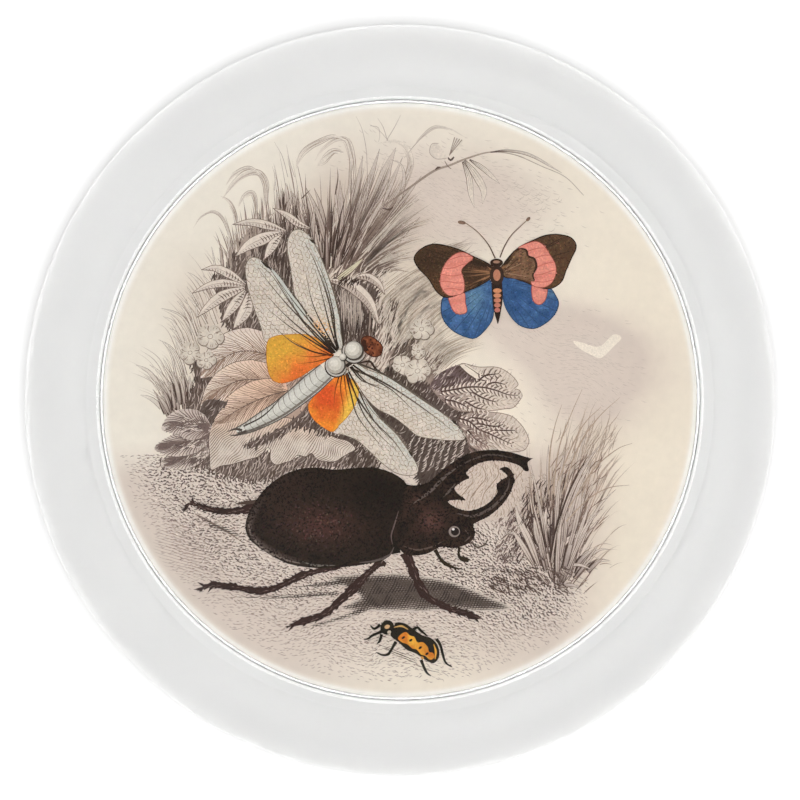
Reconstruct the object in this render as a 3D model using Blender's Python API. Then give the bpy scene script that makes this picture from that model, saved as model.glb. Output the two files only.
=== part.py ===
"""A clear glass dome paperweight with a printed paper disc under the glass.

Three loose pieces, stacked on one axis: the solid glass dome with a round recess ground into
its foot, the paper disc that lies against the recess's ceiling, and the felt pad that closes
the recess and stands a little proud, so that the glass never touches the table.
Metres, +Z up. The origin is the centre of the felt's underside, where the dome rests.
"""

import math

import bmesh
import bpy

MM = 0.001

# Driving dimensions.
GIRTH_RADIUS = 55.5 * MM  # widest half-width of the glass
HEIGHT = 46.0 * MM  # table to the dome's top
CROWN_RADIUS = 66.0 * MM  # curvature of the top
SHOULDER_RADIUS = 20.0 * MM  # curvature where the crown turns down into the side
FOOT_CORNER_RADIUS = 5.0 * MM  # rounded lower edge of the glass
RECESS_RADIUS = 36.1 * MM
RECESS_DEPTH = 2.5 * MM
RECESS_CHAMFER = 0.15 * MM  # barely broken edge at the recess's mouth
FELT_PROUD = 0.4 * MM  # how far the felt stands below the glass foot
FELT_THICKNESS = 2.0 * MM
FELT_RADIUS = RECESS_RADIUS - 0.6 * MM
FELT_EDGE_RADIUS = 0.35 * MM  # soft die-cut edge
PAPER_THICKNESS = 0.3 * MM
PAPER_RADIUS = RECESS_RADIUS - 0.3 * MM
GLUE_GAP = 0.3 * MM  # clear glue between the glass, the paper and the felt

# Worked out from them.
FOOT_Z = FELT_PROUD
CEILING_Z = FOOT_Z + RECESS_DEPTH
PAPER_TOP_Z = CEILING_Z - GLUE_GAP
PAPER_BOTTOM_Z = PAPER_TOP_Z - PAPER_THICKNESS
CROWN_CENTRE_Z = HEIGHT - CROWN_RADIUS

TURNS = 96  # flat sides round the axis
CROWN_STEPS = 13
SHOULDER_STEPS = 8
CORNER_STEPS = 5
FELT_EDGE_STEPS = 2


def arc(centre_r, centre_z, radius, start, end, steps):
    """Points (r, z) of a circular arc from angle start to end, both ends included."""
    angles = (start + (end - start) * i / steps for i in range(steps + 1))
    return [(centre_r + radius * math.cos(a), centre_z + radius * math.sin(a)) for a in angles]


def dome_profile():
    """Half section of the glass, from the top of the axis down the outside to the recess's ceiling."""
    shoulder_r = GIRTH_RADIUS - SHOULDER_RADIUS
    reach = CROWN_RADIUS - SHOULDER_RADIUS
    shoulder_z = CROWN_CENTRE_Z + math.sqrt(reach**2 - shoulder_r**2)
    meet = math.atan2(shoulder_z - CROWN_CENTRE_Z, shoulder_r)
    corner_r = GIRTH_RADIUS - FOOT_CORNER_RADIUS
    corner_z = FOOT_Z + FOOT_CORNER_RADIUS
    crown = arc(0.0, CROWN_CENTRE_Z, CROWN_RADIUS, math.pi / 2, meet, CROWN_STEPS)
    shoulder = arc(shoulder_r, shoulder_z, SHOULDER_RADIUS, meet, 0.0, SHOULDER_STEPS)
    corner = arc(corner_r, corner_z, FOOT_CORNER_RADIUS, 0.0, -math.pi / 2, CORNER_STEPS)
    recess = [
        (RECESS_RADIUS + RECESS_CHAMFER, FOOT_Z),
        (RECESS_RADIUS, FOOT_Z + RECESS_CHAMFER),
        (RECESS_RADIUS, CEILING_Z),
        (0.0, CEILING_Z),
    ]
    return crown + shoulder[1:] + corner + recess


def disc_profile(radius, bottom, top):
    """Half section of a plain disc."""
    return [(0.0, top), (radius, top), (radius, bottom), (0.0, bottom)]


def felt_profile():
    """Half section of the felt pad, with its lower edge rounded over."""
    corner = arc(
        FELT_RADIUS - FELT_EDGE_RADIUS,
        FELT_EDGE_RADIUS,
        FELT_EDGE_RADIUS,
        0.0,
        -math.pi / 2,
        FELT_EDGE_STEPS,
    )
    return [(0.0, FELT_THICKNESS), (FELT_RADIUS, FELT_THICKNESS), *corner, (0.0, 0.0)]


def turned(name, profile, material, crease_degrees):
    """A solid of revolution about Z from a half section, smooth apart from its creases."""
    shape = bmesh.new()
    points = [shape.verts.new((r, 0.0, z)) for r, z in profile]
    edges = [shape.edges.new(pair) for pair in zip(points, points[1:])]
    bmesh.ops.spin(
        shape,
        geom=points + edges,
        cent=(0.0, 0.0, 0.0),
        axis=(0.0, 0.0, 1.0),
        angle=2 * math.pi,
        steps=TURNS,
        use_merge=True,
    )
    bmesh.ops.remove_doubles(shape, verts=shape.verts, dist=0.001 * MM)
    bmesh.ops.recalc_face_normals(shape, faces=shape.faces)
    mesh = bpy.data.meshes.new(name)
    shape.to_mesh(mesh)
    shape.free()
    mesh.shade_smooth()
    mesh.set_sharp_from_angle(angle=math.radians(crease_degrees))
    mesh.materials.append(material)
    made = bpy.data.objects.new(name, mesh)
    bpy.context.scene.collection.objects.link(made)
    return made


def finish(name, colour, roughness, transmission=0.0):
    """A Principled material with a plain colour."""
    material = bpy.data.materials.new(name)
    material.use_nodes = True
    shader = material.node_tree.nodes["Principled BSDF"]
    shader.inputs["Base Color"].default_value = (*colour, 1.0)
    shader.inputs["Roughness"].default_value = roughness
    shader.inputs["Metallic"].default_value = 0.0
    shader.inputs["Transmission Weight"].default_value = transmission
    shader.inputs["IOR"].default_value = 1.52 if transmission else 1.5
    return material


def clear_scene():
    for old in list(bpy.data.objects):
        bpy.data.objects.remove(old, do_unlink=True)


def main():
    clear_scene()
    paper = disc_profile(PAPER_RADIUS, PAPER_BOTTOM_Z, PAPER_TOP_Z)
    turned("glass_dome", dome_profile(), finish("clear_glass", (0.97, 0.98, 0.97), 0.0, 1.0), 30)
    turned("printed_paper", paper, finish("cream_paper", (0.86, 0.80, 0.68), 0.8), 30)
    turned("felt_pad", felt_profile(), finish("felt", (0.10, 0.12, 0.10), 0.95), 50)


main()
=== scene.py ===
"""The looks of a clear glass dome paperweight with a hand-coloured insect engraving under the glass.

The picture is drawn as it is seen from straight above, in millimetres at the dome's widest level,
with +X right and +Y up, and a formula carries every point down through the glass to the paper.
It is printed in flat shapes: tapering pen strokes, engraved hatching and pools of watercolour.
"""

import math

import bmesh
import bpy
import numpy as np
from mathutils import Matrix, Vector
from mathutils.geometry import delaunay_2d_cdt


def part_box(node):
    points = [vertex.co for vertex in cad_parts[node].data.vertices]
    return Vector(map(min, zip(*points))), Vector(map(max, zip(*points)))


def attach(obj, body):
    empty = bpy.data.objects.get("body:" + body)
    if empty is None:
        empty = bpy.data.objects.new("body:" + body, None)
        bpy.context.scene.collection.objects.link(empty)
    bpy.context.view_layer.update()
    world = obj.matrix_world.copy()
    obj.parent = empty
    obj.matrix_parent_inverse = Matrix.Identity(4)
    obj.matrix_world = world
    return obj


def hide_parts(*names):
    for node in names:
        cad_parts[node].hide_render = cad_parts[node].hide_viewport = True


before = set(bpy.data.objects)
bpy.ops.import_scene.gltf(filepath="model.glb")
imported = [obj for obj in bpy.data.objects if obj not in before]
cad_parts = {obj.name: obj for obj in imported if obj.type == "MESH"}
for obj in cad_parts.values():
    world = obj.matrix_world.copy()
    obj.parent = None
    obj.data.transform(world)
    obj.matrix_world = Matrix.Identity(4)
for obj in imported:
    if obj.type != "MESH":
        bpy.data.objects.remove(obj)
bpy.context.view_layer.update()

MM = 0.001

# ---------------------------------------------------------------- sizes, in millimetres

GLASS_LOW, GLASS_HIGH = (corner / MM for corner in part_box("glass_dome"))
PAPER_LOW, PAPER_HIGH = (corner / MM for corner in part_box("printed_paper"))

GIRTH_RADIUS = GLASS_HIGH.x
HEIGHT = GLASS_HIGH.z
FOOT_Z = GLASS_LOW.z
PAPER_RADIUS = PAPER_HIGH.x
PAPER_TOP = PAPER_HIGH.z
CROWN_RADIUS = 66.0
CROWN_CENTRE_Z = HEIGHT - CROWN_RADIUS
SHOULDER_RADIUS = 20.0
FOOT_CORNER_RADIUS = 5.0
PAPER_GAP = 0.3  # between the CAD paper's edge and the recess wall
RECESS_RADIUS = PAPER_RADIUS + PAPER_GAP
PRINT_GAP = 0.05  # the same gap here, narrow enough not to show
RECESS_CHAMFER = 0.15
RECESS_FILLET = 0.08
GLUE_DEPTH = 0.15  # the clear glue wets the glass, so the glass is taken down past the paper's face
LAYER = 0.00025  # height step between printed layers, too thin to see
STEPS = 6  # small steps of height within one layer
STEP_SHARE = 1 / 8  # of a layer

GLASS_IOR = 1.52
CAMERA_LENS = 180.0
SENSOR = 36.0
HALF_VIEW = 59.2  # what the camera sees either side of the axis, at the girth
SHOULDER_R = GIRTH_RADIUS - SHOULDER_RADIUS
SHOULDER_REACH = CROWN_RADIUS - SHOULDER_RADIUS
GIRTH_Z = CROWN_CENTRE_Z + math.sqrt(SHOULDER_REACH**2 - SHOULDER_R**2)
EYE_Z = GIRTH_Z + HALF_VIEW * CAMERA_LENS / (SENSOR / 2)

PRINT_EDGE = 44.0  # seen radius past which the paper turns whiter, in a narrow pale band at its rim
PAPER_RINGS, PAPER_TURNS = 120, 288
GLASS_TURNS = 256
CREASE_DEGREES = 30

# ---------------------------------------------------------------- studio and glass, in metres and watts

FLOOR_REACH = 4.0
LIGHT_PLACE = (0.03, -0.07, 1.4)
LIGHT_SIZE = 0.9
LIGHT_POWER = 47.0
WORLD_STRENGTH = 1.0
GLASS_TINT = (0.84, 0.84, 0.828, 1)
GLASS_DENSITY = 20.0

# ---------------------------------------------------------------- colours, 0 to 255 as seen


def linear(colour):
    """A colour given as it looks on screen, 0 to 255, turned into linear light."""
    share = np.asarray(colour, float) / 255
    return np.where(share <= 0.04045, share / 12.92, ((share + 0.055) / 1.055) ** 2.4)


INK = (60, 45, 39)
INK_BROWN = (98, 79, 71)
INK_SOFT = (140, 120, 110)
INK_FAINT = (176, 158, 146)
INK_LEAF = (150, 126, 110)
PALE_BLADE = (203, 188, 176)
CREAM = (232, 224, 211)
CREAM_WARM = (234, 222, 204)
CREAM_WHITE = (248, 246, 242)
TONE_PINK = (208, 193, 182)
TONE_TAN = (207, 194, 177)
WASH = (194, 177, 164)


def mix(first, second, share):
    """The colour share of the way from first to second; share may be an array."""
    first, second = np.asarray(first, float), np.asarray(second, float)
    share = np.asarray(share, float)[..., None]
    return first + (second - first) * np.clip(share, 0, 1)


# ---------------------------------------------------------------- optics


def paper_radius(seen):
    """Radius on the paper of what the camera sees at radius seen, by Snell's law at the crown."""
    slope = seen / (EYE_Z - GIRTH_Z)
    length = np.hypot(slope, 1.0)
    ray_r, ray_z = slope / length, -1.0 / length
    rise = EYE_Z - CROWN_CENTRE_Z
    along = rise * ray_z
    distance = -along - np.sqrt(along**2 - rise**2 + CROWN_RADIUS**2)
    hit_r, hit_z = distance * ray_r, EYE_Z + distance * ray_z
    normal_r, normal_z = hit_r / CROWN_RADIUS, (hit_z - CROWN_CENTRE_Z) / CROWN_RADIUS
    cos_in = -(ray_r * normal_r + ray_z * normal_z)
    ratio = 1.0 / GLASS_IOR
    cos_out = np.sqrt(1.0 - ratio**2 * (1.0 - cos_in**2))
    bend = ratio * cos_in - cos_out
    inner_r, inner_z = ratio * ray_r + bend * normal_r, ratio * ray_z + bend * normal_z
    return hit_r + inner_r / inner_z * (PAPER_TOP - hit_z)


def to_paper(points):
    """Seen points (x, y) moved to where they lie on the paper."""
    radius = np.maximum(np.hypot(points[:, 0], points[:, 1]), 1e-6)
    return points * (paper_radius(radius) / radius)[:, None]


# ---------------------------------------------------------------- curves and tone


def smooth(points, closed=False, spacing=0.35):
    """A rounded line through given points, sampled about every spacing."""
    knots = np.array(points, float)
    if closed:
        knots = np.vstack([knots[-1:], knots, knots[:2]])
    else:
        knots = np.vstack([2 * knots[0] - knots[1], knots, 2 * knots[-1] - knots[-2]])
    stretches = []
    for before, start, end, after in zip(knots, knots[1:], knots[2:], knots[3:]):
        steps = max(2, math.ceil(np.linalg.norm(end - start) / spacing))
        t = (np.arange(steps) / steps)[:, None]
        bow = (2 * before - 5 * start + 4 * end - after) * t**2
        twist = (3 * start - before - 3 * end + after) * t**3
        stretches.append(0.5 * (2 * start + (end - before) * t + bow + twist))
    if not closed:
        stretches.append(knots[-2:-1])
    return np.vstack(stretches)


def normals(line):
    """Unit vectors square to a line, to its left."""
    ahead = np.gradient(line, axis=0)
    length = np.maximum(np.linalg.norm(ahead, axis=1, keepdims=True), 1e-9)
    return np.stack([-ahead[:, 1], ahead[:, 0]], axis=1) / length


def spread(values, count):
    """A few values stretched evenly over count places."""
    values = np.atleast_1d(np.asarray(values, float))
    if len(values) == 1:
        return np.full(count, values[0])
    return np.interp(np.linspace(0, 1, count), np.linspace(0, 1, len(values)), values)


def inside(outline, x, y):
    """Which of the points (x, y) lie inside a closed outline."""
    within = np.zeros(np.shape(x), bool)
    for (ax, ay), (bx, by) in zip(outline, np.roll(outline, -1, axis=0)):
        if ay != by:
            crosses = (ay > y) != (by > y)
            within ^= crosses & (x < (bx - ax) * (y - ay) / (by - ay) + ax)
    return within


def edge_distance(outline, x, y):
    """Distance from each point to the nearest side of a closed outline."""
    nearest = np.full(np.shape(x), np.inf)
    for a, b in zip(outline, np.roll(outline, -1, axis=0)):
        side = b - a
        share = ((x - a[0]) * side[0] + (y - a[1]) * side[1]) / max(side @ side, 1e-12)
        share = np.clip(share, 0, 1)
        nearest = np.minimum(nearest, np.hypot(x - a[0] - share * side[0], y - a[1] - share * side[1]))
    return nearest


def within_softly(outline, x, y, fade):
    """1 well inside an outline, falling to 0 at its edge over the distance fade."""
    return inside(outline, x, y) * np.clip(edge_distance(outline, x, y) / fade, 0, 1)


def blob(x, y, centre_x, centre_y, reach_x, reach_y, tilt=0.0):
    """A soft round patch: 1 at its centre, fading away at its reach."""
    turn = math.radians(tilt)
    across = (x - centre_x) * math.cos(turn) + (y - centre_y) * math.sin(turn)
    up = (y - centre_y) * math.cos(turn) - (x - centre_x) * math.sin(turn)
    return np.exp(-1.4 * ((across / reach_x) ** 2 + (up / reach_y) ** 2))


def patches(x, y, table, base=0.0):
    """Soft round patches added up: each is a strength, then a centre, two reaches and a tilt."""
    total = base + 0.0 * x
    for strength, *place_at in table:
        total = total + strength * blob(x, y, *place_at)
    return total


NOISE_CELLS = 64
NOISE_TABLE = np.random.default_rng(7).random((NOISE_CELLS, NOISE_CELLS))


def noise(x, y, size):
    """Smooth random values from 0 to 1 that change over about size millimetres."""
    u, v = np.asarray(x) / size + 1000.0, np.asarray(y) / size + 1000.0
    i, j = np.floor(u).astype(int), np.floor(v).astype(int)
    s, t = u - i, v - j
    s, t = s * s * (3 - 2 * s), t * t * (3 - 2 * t)
    i0, i1, j0, j1 = (cell % NOISE_CELLS for cell in (i, i + 1, j, j + 1))
    low = NOISE_TABLE[i0, j0] * (1 - s) + NOISE_TABLE[i1, j0] * s
    high = NOISE_TABLE[i0, j1] * (1 - s) + NOISE_TABLE[i1, j1] * s
    return low * (1 - t) + high * t


# ---------------------------------------------------------------- the printing plates


class Plate:
    """Flat printed shapes of one kind, gathered into one mesh that lies on the paper."""

    level = 1  # shared by all the plates: what is drawn later lies a layer higher
    step = 0  # marks in one layer take turns over six small steps, so few that cross lie in one plane

    made = []

    def __init__(self, name, slot):
        Plate.made.append(self)
        self.name = name
        self.slot = slot
        self.points = []
        self.colours = []
        self.faces = []
        self.count = 0

    def add(self, points, faces, colours, steps=None):
        """Takes up flat points, their triangles and their colours, at the height of the layer."""
        if steps is None:
            Plate.step = (Plate.step + 1) % STEPS
            steps = np.full(len(points), Plate.step)
        height = (Plate.level + steps[:, None] * STEP_SHARE) * LAYER
        self.points.append(np.hstack([points, height]))
        self.colours.append(np.broadcast_to(np.asarray(colours, float), (len(points), 3)))
        self.faces.append(np.asarray(faces, int).reshape(-1, 3) + self.count)
        self.count += len(points)

    def stroke(self, line, widths, colour=INK, second=None):
        """A ribbon along a line; widths and the two colours are spread over its length."""
        widths = np.asarray(widths, float)
        if widths.shape != (len(line),):
            widths = spread(widths, len(line))
        side = normals(line) * widths[:, None] / 2
        keep = (widths[1:] + widths[:-1]) > 0.02
        first = np.flatnonzero(keep)
        if len(first) == 0:
            return
        last = len(line)
        faces = np.stack([first, first + 1, first + last, first + 1, first + last + 1, first + last], 1)
        shades = np.asarray(colour, float)
        if second is not None:
            shades = np.tile(mix(colour, second, np.linspace(0, 1, last)), (2, 1))
        self.add(np.vstack([line + side, line - side]), faces, shades)

    def fill(self, outline, colour, grain=None):
        """A filled outline. The colour may be a function of x and y; grain then spaces its points."""
        corners = np.asarray(outline, float)
        points = corners
        if grain:
            low, high = corners.min(0), corners.max(0)
            columns, rows = np.meshgrid(np.arange(low[0], high[0], grain), np.arange(low[1], high[1], grain))
            inner = inside(corners, columns, rows) & (edge_distance(corners, columns, rows) > grain * 0.4)
            points = np.vstack([corners, np.stack([columns[inner], rows[inner]], 1)])
        made = delaunay_2d_cdt([Vector(p) for p in points], [], [list(range(len(corners)))], 1, 1e-5)
        placed = np.array([tuple(v) for v in made[0]])
        shades = colour(placed[:, 0], placed[:, 1]) if callable(colour) else colour
        self.add(placed, np.array([list(face) for face in made[2]]), shades)

    def wash(self, outline, colour, grain=None):
        """A filled outline that lies over all that is drawn already."""
        lift()
        self.fill(outline, colour, grain)

    def dot(self, x, y, radius, colour, sides=7):
        """A small round mark."""
        turn = np.linspace(0, 2 * math.pi, sides, endpoint=False)
        ring = np.stack([x + radius * np.cos(turn), y + radius * np.sin(turn)], 1)
        self.add(ring, [(0, i, i + 1) for i in range(1, sides - 1)], colour)

    def press(self, material):
        """Lays the plate's shapes on the paper as one object."""
        points, faces = np.vstack(self.points), np.vstack(self.faces)
        a, b, c = (points[faces[:, i], :2] for i in range(3))
        area = (b[:, 0] - a[:, 0]) * (c[:, 1] - a[:, 1]) - (c[:, 0] - a[:, 0]) * (b[:, 1] - a[:, 1])
        faces[area < 0] = faces[area < 0][:, ::-1]
        faces = faces[np.abs(area) > 1e-6]
        used, renumbered = np.unique(faces, return_inverse=True)
        flat, height = to_paper(points[used, :2]), points[used, 2] + PAPER_TOP
        colours = np.ones((len(used), 4))
        colours[:, :3] = linear(np.vstack(self.colours)[used])
        mesh = bpy.data.meshes.new(self.name)
        mesh.from_pydata(np.column_stack([flat, height]) * MM, [], renumbered.reshape(-1, 3))
        pigment = mesh.color_attributes.new("pigment", "FLOAT_COLOR", "POINT")
        pigment.data.foreach_set("color", colours.ravel())
        lay_flat_uv(mesh)
        mesh.materials.append(material)
        return place(self.name, mesh, self.slot)


def lay_flat_uv(mesh):
    """Texture space straight down on the paper, for the pieces that are printed on it."""
    corners = np.zeros(len(mesh.loops), int)
    mesh.loops.foreach_get("vertex_index", corners)
    places = np.zeros(len(mesh.vertices) * 3)
    mesh.vertices.foreach_get("co", places)
    flat = places.reshape(-1, 3)[corners, :2] / (2 * PAPER_RADIUS * MM) + 0.5
    mesh.uv_layers.new(name="OFBake").data.foreach_set("uv", flat.ravel())


def place(name, mesh, slot):
    """Puts a mesh in the scene as a piece of the object."""
    piece = bpy.data.objects.new(name, mesh)
    bpy.context.scene.collection.objects.link(piece)
    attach(piece, "root")
    return piece


sky_lines = Plate("sky_engraving", "engraving_ink")
ground_lines = Plate("ground_engraving", "engraving_ink")
grass_fills = Plate("grass_blades", "watercolour")
grass_lines = Plate("grass_engraving", "engraving_ink")
leaf_darks = Plate("foliage_shadows", "watercolour")
leaf_fills = Plate("foliage_leaves", "watercolour")
leaf_lines = Plate("foliage_engraving", "engraving_ink")
cast_lines = Plate("cast_shadows", "engraving_ink")
fly_brown = Plate("butterfly_brown", "watercolour")
fly_rose = Plate("butterfly_rose", "watercolour")
fly_blue = Plate("butterfly_blue", "watercolour")
fly_lines = Plate("butterfly_lines", "engraving_ink")
wing_wash = Plate("dragonfly_wings", "watercolour")
wing_orange = Plate("dragonfly_orange", "watercolour")
wing_body = Plate("dragonfly_body", "watercolour")
wing_lines = Plate("dragonfly_lines", "engraving_ink")
horn_black = Plate("horned_beetle", "watercolour")
horn_lights = Plate("horned_beetle_highlights", "watercolour")
small_black = Plate("small_beetle", "watercolour")
small_gold = Plate("small_beetle_gold", "watercolour")


def lift():
    """What is drawn next lies over all that is drawn already."""
    Plate.level += 1


MOST_COVER = 0.92  # lines of hatching never quite close up


def hatch(plate, lines, spacing, cover, colour, thinnest):
    """Engraved tone: lines as wide as the cover wanted at each of their points, broken where it is low."""
    for line in lines:
        widths = spacing * np.clip(cover(line[:, 0], line[:, 1]), 0, MOST_COVER)
        plate.stroke(line, np.where(widths < thinnest, 0, widths), colour)


def rows(low_x, low_y, high_x, high_y, spacing, tilt=0.0, wave=0.0, wave_size=2.0, step=0.3):
    """Parallel lines over a box, turned by tilt degrees about its middle, with a slight wave."""
    turn = math.radians(tilt)
    middle = np.array([(low_x + high_x) / 2, (low_y + high_y) / 2])
    half = math.hypot(high_x - low_x, high_y - low_y) / 2
    along = np.arange(-half, half, step)
    for offset in np.arange(-half, half, spacing):
        bend = (noise(along, np.full_like(along, offset * 0.35), wave_size) - 0.5) * wave
        x, y = along, offset + bend
        line = np.stack([x * math.cos(turn) - y * math.sin(turn), x * math.sin(turn) + y * math.cos(turn)], 1)
        line += middle
        keep = (line[:, 0] > low_x) & (line[:, 0] < high_x) & (line[:, 1] > low_y) & (line[:, 1] < high_y)
        if keep.sum() > 2:
            yield line[keep]


# ---------------------------------------------------------------- pen marks in bulk


def scatter(low_x, low_y, high_x, high_y, spacing, seed):
    """Points about spacing apart over a box, each nudged off its grid place."""
    rng = np.random.default_rng(seed)
    x, y = np.meshgrid(np.arange(low_x, high_x, spacing), np.arange(low_y, high_y, spacing))
    x[1::2] += spacing / 2
    x, y = x.ravel(), y.ravel()
    return x + rng.uniform(-0.4, 0.4, x.size) * spacing, y + rng.uniform(-0.4, 0.4, x.size) * spacing, rng


MARK_STEPS = np.array([-0.5, -0.17, 0.17, 0.5])  # places along a pen mark, as shares of its length
MARK_WIDTHS = np.array([0.2, 1.0, 0.9, 0.15])  # how wide it is at each of them
MARK_POINTS = 8


def dashes(plate, x, y, heading, length, width, bow, colour):
    """Many short curved pen marks, each set by its middle, heading in degrees, length and width."""
    turn = np.radians(np.broadcast_to(heading, x.shape))[:, None]
    length, width = np.broadcast_to(length, x.shape)[:, None], np.broadcast_to(width, x.shape)[:, None]
    bow = np.broadcast_to(bow, x.shape)[:, None]
    ahead, off = length * MARK_STEPS, length * bow * (4 * MARK_STEPS**2 - 0.5)
    half = width / 2 * MARK_WIDTHS
    sides = []
    for sign in (1, -1):
        out = off + sign * half
        sides.append(np.stack([x[:, None] + ahead * np.cos(turn) - out * np.sin(turn),
                               y[:, None] + ahead * np.sin(turn) + out * np.cos(turn)], -1))
    points = np.concatenate(sides, 1).reshape(-1, 2)
    one = np.array([(i, i + 1, i + 4) for i in range(3)] + [(i + 1, i + 5, i + 4) for i in range(3)])
    faces = (np.arange(len(x)) * MARK_POINTS)[:, None, None] + one
    shades = np.asarray(colour, float)
    if shades.ndim == 2:
        shades = np.repeat(shades, MARK_POINTS, axis=0)
    plate.add(points, faces, shades, np.repeat(np.arange(len(x)) * 5 % STEPS, MARK_POINTS))


def stipple(plate, outline, colour, spacing, contrast, seed, heading=None):
    """Short grainy marks over what is drawn in an outline, each lighter or darker than its colour."""
    lift()
    low, high = outline.min(0), outline.max(0)
    x, y, rng = scatter(*low, *high, spacing, seed)
    x, y = kept(inside(outline, x, y), x, y)
    base = colour(x, y) if callable(colour) else np.tile(np.asarray(colour, float), (x.size, 1))
    tone = 1 + rng.uniform(-contrast, contrast, x.size)
    tint = 1 + rng.normal(0, contrast * 0.16, (x.size, 3))
    shades = np.clip(base * tone[:, None] * tint, 8, 250)
    lean = rng.uniform(0, 180, x.size) if heading is None else heading + rng.normal(0, 16, x.size)
    length, width = (rng.uniform(*span, x.size) * spacing for span in ((0.7, 1.5), (0.3, 0.62)))
    dashes(plate, x, y, lean, length, width, 0.15, shades)


def looped(outline):
    """A closed outline with its first point again at its end, for a stroke all the way round."""
    return np.vstack([outline, outline[:1]])


def kept(keep, *arrays):
    """Each array's values at the places where keep is true."""
    return [values[keep] for values in arrays]


def resample(line, count):
    """The same line as count points spaced evenly along it."""
    steps = np.concatenate([[0], np.cumsum(np.linalg.norm(np.diff(line, axis=0), axis=1))])
    at = np.linspace(0, steps[-1], count)
    return np.stack([np.interp(at, steps, line[:, 0]), np.interp(at, steps, line[:, 1])], 1)


def between(guides, place_at, count=16):
    """A line part way between neighbouring guide curves: 0 is the first guide, 1 the second and so on."""
    low = min(int(place_at), len(guides) - 2)
    share = place_at - low
    return resample(guides[low], count) * (1 - share) + resample(guides[low + 1], count) * share


def weave(plate, guides, count, width, colour, seed):
    """Engraved form lines that flow between guide curves, each with its own start, end and weight."""
    rng = np.random.default_rng(seed)
    curves = [smooth(guide) for guide in guides]
    for place_at in np.linspace(0, len(guides) - 1, count):
        place_at = float(np.clip(place_at + rng.normal(0, 0.15 * len(guides) / count), 0, len(guides) - 1))
        line = between(curves, place_at)
        start = rng.uniform(0, 0.12)
        end = max(start + 0.25, 1.0 - rng.uniform(0, 0.25))
        span = slice(int(start * 15), max(int(end * 15) + 1, int(start * 15) + 3))
        line = line[span] + rng.normal(0, 0.06, 2)
        weight = width * rng.uniform(0.6, 1.3)
        plate.stroke(line, (weight * 0.5, weight, weight * 0.85, weight * 0.2), colour)


# ---------------------------------------------------------------- plants


def blade(path, breadth, edge=0.12, folds=1, colour=PALE_BLADE, base_colour=None, fills=None, lines=None,
          shape=(0.75, 1, 0.9, 0.62, 0.0)):
    """One blade of grass: a pale strip that narrows to its tip, with inked edges and folds."""
    fills, lines = fills or grass_fills, lines or grass_lines
    line = smooth(path, spacing=0.6)
    half = breadth / 2 * spread(shape, len(line))
    lift()
    fills.stroke(line, half * 2, base_colour or colour, colour)
    lift()
    side = normals(line) * half[:, None]
    lines.stroke(line + side, (edge * 1.1, edge * 0.8, edge * 0.3), INK_BROWN, INK_SOFT)
    lines.stroke(line - side, (edge * 1.6, edge * 1.2, edge * 0.4), INK_BROWN, INK_SOFT)
    for k in range(folds):
        share = (k + 1) / (folds + 1) * 2 - 1
        reach = max(3, int(len(line) * (0.9 - 0.3 * abs(share))))
        lines.stroke((line + share * side)[:reach], (edge * 0.9, edge * 0.5, 0), INK_BROWN, INK_SOFT)


def fan(guides, count, breadth, seed, tones, base_tone, edge=0.11, folds=1, start=(0.0, 0.2),
        end=(0.55, 1.0), jitter=0.25,
        dark=0.5, droop=0.1):
    """Overlapping blades of grass that flow between given guide curves.

    start and end say between which shares of a guide's length the blades begin and stop, and dark is
    the share of them that has a dark gap beside it.
    """
    rng = np.random.default_rng(seed)
    curves = [smooth(guide) for guide in guides]
    order = rng.permutation(count)
    for k in order:
        place_at = (k + rng.uniform(0, 1)) / count * (len(guides) - 1)
        line = between(curves, min(place_at, len(guides) - 1.001), 24)
        first, last = int(rng.uniform(*start) * 23), int(rng.uniform(*end) * 23)
        line = line[first : max(last, first + 6) + 1] + rng.normal(0, jitter, 2)
        offset = line - line[0]
        share = np.linspace(0, 1, len(line))[:, None]
        sway = rng.normal(0, 0.05) + rng.normal(0, droop) * share
        line = line + np.stack([-offset[:, 1], offset[:, 0]], 1) * sway
        width = breadth * rng.uniform(0.5, 1.3)
        path = [tuple(point) for point in line[:: max(1, len(line) // 4)]]
        if rng.random() < dark:
            shadow = resample(line, 10)[: rng.integers(5, 9)]
            lift()
            grass_lines.stroke(shadow + normals(shadow) * width * 0.7, (0.1, width * 0.55, 0.0), INK,
                               INK_BROWN)
        blade(path, width, edge, folds, tones[rng.integers(len(tones))], base_tone)


def tendrils(guides, count, width, seed, colour=INK_SOFT, second=None, start=(0.0, 0.5), end=(0.6, 1.0),
             jitter=0.35):
    """Loose single pen lines between guide curves, which begin and stop like the blades of a fan."""
    rng = np.random.default_rng(seed)
    curves = [smooth(guide) for guide in guides]
    for _ in range(count):
        line = between(curves, rng.uniform(0, len(guides) - 1.001), 20)
        first = int(rng.uniform(*start) * 19)
        last = max(first + 4, int(rng.uniform(*end) * 19))
        line = line[first : last + 1] + rng.normal(0, jitter, 2)
        weight = width * rng.uniform(0.5, 1.3)
        grass_lines.stroke(line, (weight * 0.6, weight, weight * 0.7, 0.0), colour, second)


def wisp(path, width=0.08, colour=INK_FAINT):
    """A thin far-off stem."""
    grass_lines.stroke(smooth(path), (width, width, width * 0.3), colour)


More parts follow.
